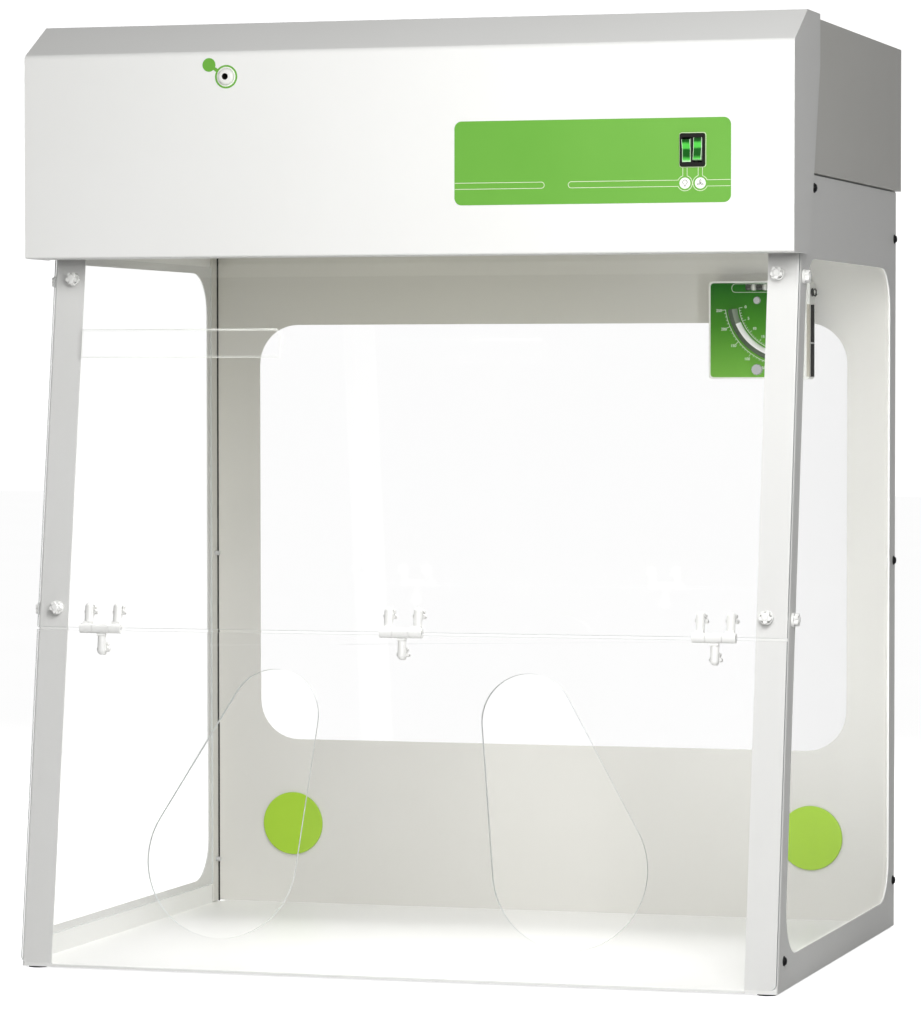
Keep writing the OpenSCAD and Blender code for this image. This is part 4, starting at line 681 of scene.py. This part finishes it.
def grow(tree, mesh, sizes, finish):
    seed = newObject(tree.name, mesh)
    grown = seed.modifiers.new(tree.name, "NODES")
    grown.node_group = tree
    keys = {item.name: item.identifier for item in tree.interface.items_tree if item.in_out == "INPUT"}
    for label, value in sizes.items():
        grown[keys[label]] = value
    grown[keys["Finish"]] = finishes[finish]
    return settled(seed)


# printed lines: a flat ribbon of ink along each line
inkLines, flow, given = newTree("inkLines", {"Stroke": "Float", "Height": "Float"})
curve = flow.add("GeometryNodeMeshToCurve", links={"Mesh": given["Geometry"]})
level = flow.add("GeometryNodeSetCurveNormal", {"mode": "Z_UP"}, {"Curve": curve})
ribbon = flow.add("GeometryNodeCurvePrimitiveQuadrilateral",
                  links={"Width": given["Stroke"], "Height": given["Height"]})
endTree(flow, given, flow.add("GeometryNodeCurveToMesh",
                              links={"Curve": level, "Profile Curve": ribbon, "Fill Caps": True}))

# scale marks: short bars along an arc, each pointing at its middle
scaleMarks, flow, given = newTree("scaleMarks", {"Radius": "Float", "Start": "Float", "Sweep": "Float",
                                                 "Marks": "Int", "Long": "Float", "Stroke": "Float",
                                                 "Height": "Float"})
arc = flow.add("GeometryNodeCurveArc", {"mode": "RADIUS"}, {
    "Resolution": given["Marks"], "Radius": given["Radius"], "Start Angle": given["Start"],
    "Sweep Angle": given["Sweep"]})
size = flow.add("ShaderNodeCombineXYZ", links={"X": given["Long"], "Y": given["Stroke"], "Z": given["Height"]})
mark = flow.add("GeometryNodeMeshCube", links={"Size": size})
spoke = flow.add("FunctionNodeAlignRotationToVector", {"axis": "X"},
                 {"Vector": flow.add("GeometryNodeInputPosition")})
endTree(flow, given, flow.add("GeometryNodeInstanceOnPoints",
                              links={"Points": arc, "Instance": mark, "Rotation": spoke}))

# fibre mat: a lofted pad with loose fibres over its faces
strandBow = {"sink": 0.85, "aside": 0.3, "rise": 0.06, "points": 5, "sides": 3, "tilt": 0.06}
fibreMat, flow, given = newTree("fibreMat", {"Loft": "Float", "Grain": "Float", "Fibres": "Float",
                                             "Fibre": "Float", "Thread": "Float", "Seed": "Int"})
loft = flow.add("ShaderNodeTexNoise", links={"Scale": given["Grain"], "Detail": 3.0})
lift = scaled(flow.add("GeometryNodeInputNormal"), (loft - strandBow["sink"]) * given["Loft"])
pad = flow.add("GeometryNodeSetPosition", links={"Geometry": given["Geometry"], "Offset": lift})
spots = flow.add("GeometryNodeDistributePointsOnFaces", {"distribute_method": "RANDOM"},
                 {"Mesh": pad, "Density": given["Fibres"], "Seed": given["Seed"]})
edges = flow.add("GeometryNodeBoundBox", links={"Geometry": pad})
span = vectors("SUBTRACT", edges["Max"], edges["Min"])
middle = vectors("MULTIPLY_ADD", span, (0.5, 0.5, 0.5), edges["Min"])
share = vectors("DIVIDE", vectors("SUBTRACT", middle, flow.add("GeometryNodeInputPosition")), span)
inward = scaled(vectors("MULTIPLY", share, (1, 1, 0)), given["Fibre"])  # so that fibres end at the pad's edge
spots = flow.add("GeometryNodeSetPosition", links={"Geometry": spots, "Offset": inward})
bow = flow.add("GeometryNodeCurveQuadraticBezier", links={
    "Resolution": strandBow["points"], "Start": (-0.5, 0, 0), "Middle": (0, strandBow["aside"], strandBow["rise"]),
    "End": (0.5, 0, 0)})
thread = flow.add("GeometryNodeCurvePrimitiveCircle", {"mode": "RADIUS"},
                  {"Resolution": strandBow["sides"], "Radius": given["Thread"] / given["Fibre"]})
strand = flow.add("GeometryNodeCurveToMesh", links={"Curve": bow, "Profile Curve": thread, "Fill Caps": True})
tilt = strandBow["tilt"]
spin = flow.add("FunctionNodeRandomValue", {"data_type": "FLOAT_VECTOR"},
                {0: (-tilt, -tilt, 0.0), 1: (tilt, tilt, 6.28), "Seed": given["Seed"]})
strands = flow.add("GeometryNodeInstanceOnPoints", links={
    "Points": spots, "Instance": strand, "Rotation": spin, "Scale": given["Fibre"]})
endTree(flow, given, flow.add("GeometryNodeJoinGeometry", links={"Geometry": [pad, strands]}))
print("geometry trees ready")


# outlines are drawn flat, x to the right and y up, in millimetres
def arcLine(middle, radius, start, sweep, steps=24):
    return [(middle[0] + radius * math.cos(math.radians(start + sweep * k / steps)),
             middle[1] + radius * math.sin(math.radians(start + sweep * k / steps))) for k in range(steps + 1)]


def roundBox(left, right, foot, head, radius, steps=6):
    left, right, foot, head = left + radius, right - radius, foot + radius, head - radius
    corners = ((right, head, 90), (right, foot, 0), (left, foot, -90), (left, head, 180))
    return [point for x, y, start in corners for point in arcLine((x, y), radius, start, -90, steps)]


def lineMesh(lines):
    points, edges = [], []
    for closed, line in lines:
        first = len(points)
        points += [(x * mm, y * mm, 0) for x, y in line]
        edges += [(first + k, first + k + 1) for k in range(len(line) - 1)]
        if closed:
            edges.append((len(points) - 1, first))
    mesh = bpy.data.meshes.new("lines")
    mesh.from_pydata(points, edges, [])
    return mesh


def plateMesh(outline, thick):
    work = bmesh.new()
    base = work.faces.new([work.verts.new((x * mm, y * mm, 0)) for x, y in outline])
    grown = bmesh.ops.extrude_face_region(work, geom=[base])
    raised = [v for v in grown["geom"] if isinstance(v, bmesh.types.BMVert)]
    bmesh.ops.translate(work, vec=(0, 0, thick * mm), verts=raised)
    bmesh.ops.recalc_face_normals(work, faces=work.faces)
    return meshFrom(work, "plate")


def onFront(x, y, z, off):
    return Matrix.Translation((x, y - off * mm, z)) @ Matrix.Rotation(math.radians(90), 4, "X")


def joined(meshes):
    work = bmesh.new()
    for mesh in meshes:
        work.from_mesh(mesh)
    whole = meshFrom(work, "joined")
    for finish in meshes[0].materials:
        whole.materials.append(finish)
    return whole


def printLines(name, lines, stroke, finish, place, body, slot, height=0.05):
    mesh = grow(inkLines, lineMesh(lines), {"Stroke": stroke * mm, "Height": height * mm}, finish)
    mesh.transform(place)
    return putIn(name, mesh, body, slot)


# control label: two open pills, channels from the switch down to two round signs
label = {"stroke": 0.6, "leftEnd": -49.0, "rightStart": -24.0, "pillHead": -19.9, "pillFoot": -26.1,
         "signs": (96.1, 111.8), "signUp": -23.0, "signRadius": 5.55, "ringRadius": 7.6, "channel": 2.2,
         "frameOut": 0.6, "frameStroke": 0.6, "frameCorner": 2.4, "margin": 0.4, "meet": 0.985,
         "off": 0.04, "disc": 0.06}
onLabel = ("fascia", "green_vinyl")
labelLow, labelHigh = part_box("control_label")
labelMiddle = middleOf("control_label")
labelPlace = onFront(labelMiddle.x, labelLow.y, labelMiddle.z, label["off"])
labelHalf = (labelHigh.x - labelLow.x) / 2 / mm
bezelLow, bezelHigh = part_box("switch_bezel")
bezelFoot, bezelHead = (bezelLow - labelMiddle) / mm, (bezelHigh - labelMiddle) / mm
out = label["frameOut"]
frameBox = [bezelFoot.x - out, bezelHead.x + out, bezelFoot.z - out, bezelHead.z + out]

pillMiddle = (label["pillHead"] + label["pillFoot"]) / 2
pillRadius = (label["pillHead"] - label["pillFoot"]) / 2
signOut = label["ringRadius"]
pillTurn = math.degrees(math.asin(pillRadius / signOut))  # where a pill's lines meet a sign's ring
channelTurn = math.degrees(math.acos(label["channel"] / signOut))
leftSign, rightSign = [(x, label["signUp"]) for x in label["signs"]]
gap = (rightSign[0] - leftSign[0]) / 2
joinTurn = math.degrees(math.acos(min(1.0, gap / signOut * label["meet"])))
edge = labelHalf - label["margin"]
fromSwitch = {(sign, side): (sign[0] + side * label["channel"], frameBox[2])
              for sign in (leftSign, rightSign) for side in (-1, 1)}
lines = [
    (False, [(-edge, label["pillHead"])]
     + arcLine((label["leftEnd"] - pillRadius, pillMiddle), pillRadius, 90, -180) + [(-edge, label["pillFoot"])]),
    (False, [fromSwitch[leftSign, -1]] + arcLine(leftSign, signOut, 180 - channelTurn, channelTurn - pillTurn, 8)
     + arcLine((label["rightStart"] + pillRadius, pillMiddle), pillRadius, 90, 180)
     + arcLine(leftSign, signOut, 180 + pillTurn, 180 - pillTurn - joinTurn, 20)
     + arcLine(rightSign, signOut, 180 + joinTurn, 180 - joinTurn - pillTurn, 20) + [(edge, label["pillFoot"])]),
    (False, [fromSwitch[leftSign, 1]] + arcLine(leftSign, signOut, channelTurn, joinTurn - channelTurn, 8)
     + arcLine(rightSign, signOut, 180 - joinTurn, joinTurn - channelTurn, 8) + [fromSwitch[rightSign, -1]]),
    (False, [fromSwitch[rightSign, 1]] + arcLine(rightSign, signOut, channelTurn, pillTurn - channelTurn, 8)
     + [(edge, label["pillHead"])]),
]
printLines("label_lines", lines, label["stroke"], "paleInk", labelPlace, *onLabel)
printLines("switch_outline", [(True, roundBox(*frameBox, label["frameCorner"]))], label["frameStroke"], "paleInk",
           labelPlace, *onLabel)

signMesh = joined([plateMesh(arcLine(sign, label["signRadius"], 0, 354, 59), label["disc"])
                   for sign in (leftSign, rightSign)])
signMesh.transform(labelPlace)
putIn("sign_discs", signMesh, *onLabel, "whiteInk")

# the signs: a bulb with its cap, and a fan of three blades
signs = {"bulbUp": 0.9, "bulb": 2.3, "cap": ((1.05, -1.9), (0.9, -2.8)), "hub": 0.6, "blades": (90, 210, 330),
         "bladeOut": 2.0, "bladeLong": 1.35, "bladeWide": 0.8, "stroke": 0.55, "height": 0.04, "off": 0.1}
bulb = [(False, arcLine((leftSign[0], leftSign[1] + signs["bulbUp"]), signs["bulb"], -62, 304, 28))]
for wide, up in signs["cap"]:
    bulb.append((False, [(leftSign[0] - wide, leftSign[1] + up), (leftSign[0] + wide, leftSign[1] + up)]))
fan = [(True, arcLine(rightSign, signs["hub"], 0, 345, 15))]
for blade in signs["blades"]:
    turn = Matrix.Rotation(math.radians(blade), 2)
    loop = [turn @ Vector((signs["bladeOut"] + signs["bladeLong"] * math.cos(t), signs["bladeWide"] * math.sin(t)))
            for t in [math.tau * k / 18 for k in range(18)]]
    fan.append((True, [(rightSign[0] + x, rightSign[1] + y) for x, y in loop]))
signPlace = onFront(labelMiddle.x, labelLow.y, labelMiddle.z, signs["off"])
printLines("sign_drawings", bulb + fan, signs["stroke"], "greyInk", signPlace, *onLabel, signs["height"])

# sampling port: a white ring inside the green one
sampling = {"ring": 9.4, "stroke": 1.5, "off": 0.03}
portPlace = onFront(bossMiddle.x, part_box("sampling_label")[0].y, bossMiddle.z, sampling["off"])
printLines("sampling_ring", [(True, arcLine((0, 0), sampling["ring"], 0, 354, 59))], sampling["stroke"], "whiteInk",
           portPlace, *onLabel)
print("control label and sampling port printed")

# clear sticker on the upper pane: bare film with a double white border and one cut corner
sticker = {"left": -366.0, "right": -144.0, "foot": 635.6, "head": 666.9, "cut": 6.0, "film": 0.12, "stroke": 0.9,
           "fine": 0.36, "outer": 1.0, "inner": 2.4, "slant": 0.4, "paneFoot": 353.0, "paneThick": 5.0,
           "off": 0.03, "inkOff": 0.2}
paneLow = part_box("upper_pane")[0]


def onSash(off):
    out = Vector((0, -math.cos(lean), math.sin(lean)))
    up = Vector((0, math.sin(lean), math.cos(lean)))
    foot = Vector((0, paneLow.y, paneLow.z + sticker["paneThick"] * mm * math.sin(lean)))  # the pane's front lower edge
    base = foot - up * sticker["paneFoot"] * mm + out * off * mm
    turned = Matrix(((1, 0, 0), (0, up.y, out.y), (0, up.z, out.z))).to_4x4()
    return Matrix.Translation(base) @ turned


def stickerLine(inset):
    left, right, foot, head = [sticker[side] for side in ("left", "right", "foot", "head")]
    corner = sticker["cut"] + inset * sticker["slant"]
    return [(left + inset, foot + inset), (right - inset, foot + inset), (right - inset, head - corner),
            (right - corner, head - inset), (left + inset, head - inset)]


film = plateMesh(stickerLine(0), sticker["film"])
film.transform(onSash(sticker["off"]))
putIn("sticker_film", film, "cabinet", "clear_acrylic", "clearFilm")
for name, inset, stroke in (("sticker_border", sticker["outer"], sticker["stroke"]),
                            ("sticker_inner_border", sticker["inner"], sticker["fine"])):
    printLines(name, [(True, stickerLine(inset))], stroke, "whiteInk", onSash(sticker["inkOff"]), "cabinet",
               "clear_acrylic")
print("sticker laid on the upper pane")

# gauge dial: two scales with plain numbers, and a pill round the level vial
scale = {"outer": 71.5, "inner": 56.0, "start": 187.5, "sweep": 78.0, "stroke": 0.45, "minor": 2.0, "major": 4.0,
         "outerNumbers": (250, 200, 150, 100, 50, 0), "innerNumbers": (0, 5, 10, 15, 20, 25), "figure": 4.4,
         "outerRing": 79.0, "innerRing": 48.5, "pill": (-30.3, 28.0, 42.1, 51.6), "pillCorner": 4.5, "pillStroke": 0.4,
         "minors": 26, "majors": 6, "height": 0.05, "off": 0.03}
onDial = ("cabinet", "gauge_green")
dialPlace = onFront(dialMiddle.x, dialLow.y, dialMiddle.z, scale["off"])
swing = dial["tubeMiddle"]
arcs = [(False, arcLine(swing, scale[ring], scale["start"], scale["sweep"], 48)) for ring in ("outer", "inner")]
printLines("scale_lines", arcs, scale["stroke"], "whiteInk", dialPlace, *onDial)
printLines("vial_pill", [(True, roundBox(*scale["pill"], scale["pillCorner"]))], scale["pillStroke"], "whiteInk",
           dialPlace, *onDial)
marks = []
for radius, outwards in ((scale["outer"], 1), (scale["inner"], -1)):
    for count, long in ((scale["minors"], scale["minor"]), (scale["majors"], scale["major"])):
        marks.append(grow(scaleMarks, bpy.data.meshes.new("marks"), {
            "Radius": (radius + outwards * long / 2) * mm, "Start": math.radians(scale["start"]),
            "Sweep": math.radians(scale["sweep"]), "Marks": count, "Long": long * mm, "Stroke": scale["stroke"] * mm,
            "Height": scale["height"] * mm}, "whiteInk"))
markMesh = joined(marks)
markMesh.transform(dialPlace @ Matrix.Translation((swing[0] * mm, swing[1] * mm, 0)))
putIn("scale_marks", markMesh, *onDial)


def numberMesh(number, x, y, high):
    text = bpy.data.curves.new("number", "FONT")
    text.body = str(number)
    text.size = high * mm
    text.align_x = "CENTER"
    text.align_y = "CENTER"
    text.extrude = scale["height"] / 2 * mm
    mesh = settled(newObject("number", text))
    mesh.transform(Matrix.Translation((x * mm, y * mm, 0)))
    return mesh


figures = []
for numbers, radius in ((scale["outerNumbers"], scale["outerRing"]), (scale["innerNumbers"], scale["innerRing"])):
    for k, number in enumerate(numbers):
        way = math.radians(scale["start"] + scale["sweep"] * k / (len(numbers) - 1))
        figures.append(numberMesh(number, swing[0] + radius * math.cos(way), swing[1] + radius * math.sin(way),
                                  scale["figure"]))
figureMesh = joined(figures)
figureMesh.transform(dialPlace)
putIn("scale_numbers", figureMesh, *onDial, "whiteInk")

# rubber rings on the gauge's hose barbs
rings = {"across": 6.0, "thick": 2.0, "squeeze": 0.3, "out": 1.3, "depths": (5.0, 19.0), "down": 12.5}


# a skin over loops of points, closed like a ring or capped at both ends
def sweptMesh(loops, closed):
    work = bmesh.new()
    rows = [[work.verts.new(point) for point in loop] for loop in loops]
    for k in range(0 if closed else 1, len(rows)):
        for j in range(len(rows[k])):
            work.faces.new((rows[k][j], rows[k - 1][j], rows[k - 1][j - 1], rows[k][j - 1]))
    if not closed:
        work.faces.new(rows[0])
        work.faces.new(rows[-1])
    bmesh.ops.recalc_face_normals(work, faces=work.faces)
    mesh = meshFrom(work, "swept")
    mesh.shade_smooth()
    return mesh


def ringMesh(middle, radius, thick, steps=28, sides=10):
    loops = []
    for step in range(steps):
        way = math.tau * step / steps
        loop = []
        for j in range(sides):
            turn = math.tau * j / sides
            out = radius + thick / 2 * math.cos(turn)
            spot = Vector((thick / 2 * math.sin(turn), out * math.cos(way), out * math.sin(way)))
            loop.append((middle + spot) * mm)
        loops.append(loop)
    return sweptMesh(loops, True)


ringRadius = (rings["across"] + rings["thick"]) / 2 - rings["squeeze"]
ringPair = [ringMesh(dialHigh / mm + Vector((rings["out"], depth, -rings["down"])), ringRadius, rings["thick"])
            for depth in rings["depths"]]
putIn("barb_rings", joined(ringPair), "cabinet", "rubber", "rubber")
print("gauge dial printed")

# dark strips in the two rear corners of the chamber: painted shade standing in for the shadow gap at each joint
shadeStrip = {"across": 1.5, "sheet": 1.5, "foot": 4.0, "under": 1.0}
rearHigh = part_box("rear_panel")[1]
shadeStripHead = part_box("ceiling")[0].z / mm - shadeStrip["under"]
shadeStrips = []
for side in (-1, 1):
    corner = (side * (rearHigh.x / mm - shadeStrip["sheet"]), rearHigh.y / mm - shadeStrip["sheet"])
    shadeStrips.append(plateMesh([corner, (corner[0] - side * shadeStrip["across"], corner[1]),
                            (corner[0], corner[1] - shadeStrip["across"])], shadeStripHead - shadeStrip["foot"]))
shadeStripMesh = joined(shadeStrips)
shadeStripMesh.transform(Matrix.Translation((0, 0, shadeStrip["foot"] * mm)))
# dark strips: painted shade in the rear corner gaps
putIn("corner_beads", shadeStripMesh, "cabinet", "rubber", "rubber")
print("corner beads laid")

# prefilter: a lofted fibre pad in place of its plain slab
mat = {"loft": 1.6, "grain": 55.0, "fibres": 12000.0, "fibre": 16.0, "thread": 0.09, "seed": 4, "step": 8.0,
       "inset": 0.6, "fill": 0.35}
matLow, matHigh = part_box("prefilter")


def padMesh(low, high, step, inset):
    work = bmesh.new()
    bmesh.ops.create_cube(work, size=1.0)
    size = [high[k] - low[k] - 2 * inset for k in range(3)]
    for vert in work.verts:
        vert.co = Vector([(low[k] + high[k]) / 2 + vert.co[k] * size[k] for k in range(3)])
    for axis, cuts in ((0, int(size[0] / step / mm)), (1, int(size[1] / step / mm))):
        along = [e for e in work.edges if abs((e.verts[1].co - e.verts[0].co).normalized()[axis]) > 0.99]
        bmesh.ops.subdivide_edges(work, edges=along, cuts=cuts, use_grid_fill=True)
    mesh = meshFrom(work, "pad")
    mesh.shade_smooth()
    return mesh


padBase = padMesh(matLow, matHigh, mat["step"], mat["inset"] * mm)
padPiece = putIn("prefilter_mat", grow(fibreMat, padBase, {
    "Loft": mat["loft"] * mm, "Grain": mat["grain"], "Fibres": mat["fibres"], "Fibre": mat["fibre"] * mm,
    "Thread": mat["thread"] * mm, "Seed": mat["seed"]}, "fleeceFibre"), "cabinet", "fleece")
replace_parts(padPiece, "prefilter")
mat["fill"]
print("prefilter mat made of", len(padPiece.data.polygons), "faces")

# leads inside the head: from the motor to the driver box, and from there to the inlet
leads = {"across": 6.0, "stub": 6.0, "steps": 40, "sides": 16, "sharp": 50, "drop": (0.12, 0.4), "ease": 0.3}
driverLow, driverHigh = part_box("driver_box")
leadLow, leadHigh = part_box("inside_leads")


def smoothRun(points):
    start, first, second, end = [Vector(p) for p in points]
    a = start + (first - start).normalized() * leads["stub"] * mm
    b = end + (second - end).normalized() * leads["stub"] * mm
    middle = []
    for k in range(leads["steps"] + 1):
        t = k / leads["steps"]
        s = 1 - t
        middle.append(s ** 3 * a + 3 * s * s * t * first + 3 * s * t * t * second + t ** 3 * b)
    return [start] + middle + [end]


def tubeMesh(points, across, sides):
    loops = []
    side = None
    for k, point in enumerate(points):
        way = (points[min(k + 1, len(points) - 1)] - points[max(k - 1, 0)]).normalized()
        if side is None:
            side = way.orthogonal().normalized()
        side = (side - way * side.dot(way)).normalized()
        up = way.cross(side)
        turns = [math.tau * j / sides for j in range(sides)]
        loops.append([point + (side * math.cos(t) + up * math.sin(t)) * across / 2 * mm for t in turns])
    mesh = sweptMesh(loops, False)
    mesh.set_sharp_from_angle(angle=math.radians(leads["sharp"]))
    return mesh


midX, midY, low = middleOf("driver_box")
high = leadHigh.z - leads["across"] / 2 * mm
inletFace = leadHigh.y
inletUp = middleOf("power_inlet").z
gapX = driverLow.x - leadLow.x
gapY = inletFace - driverHigh.y
runs = {
    "motor_lead": [(leadLow.x, midY, high), (driverLow.x - leads["drop"][0] * gapX, midY, high),
                   (driverLow.x - leads["drop"][1] * gapX, midY, low), (driverLow.x, midY, low)],
    "inlet_lead": [(midX, driverHigh.y, low), (midX, driverHigh.y + leads["ease"] * gapY, low),
                   (midX, inletFace - leads["ease"] * gapY, inletUp), (midX, inletFace, inletUp)],
}
for name, points in runs.items():
    route = smoothRun(points)
    lead = putIn(name, tubeMesh(route, leads["across"], leads["sides"]), "cabinet", "black_plastic", "leadJacket")
    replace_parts(lead, "inside_leads")
    long = sum((b - a).length for a, b in zip(route, route[1:]))
    route[0]
    leads["across"] * mm
print("leads laid inside the head")
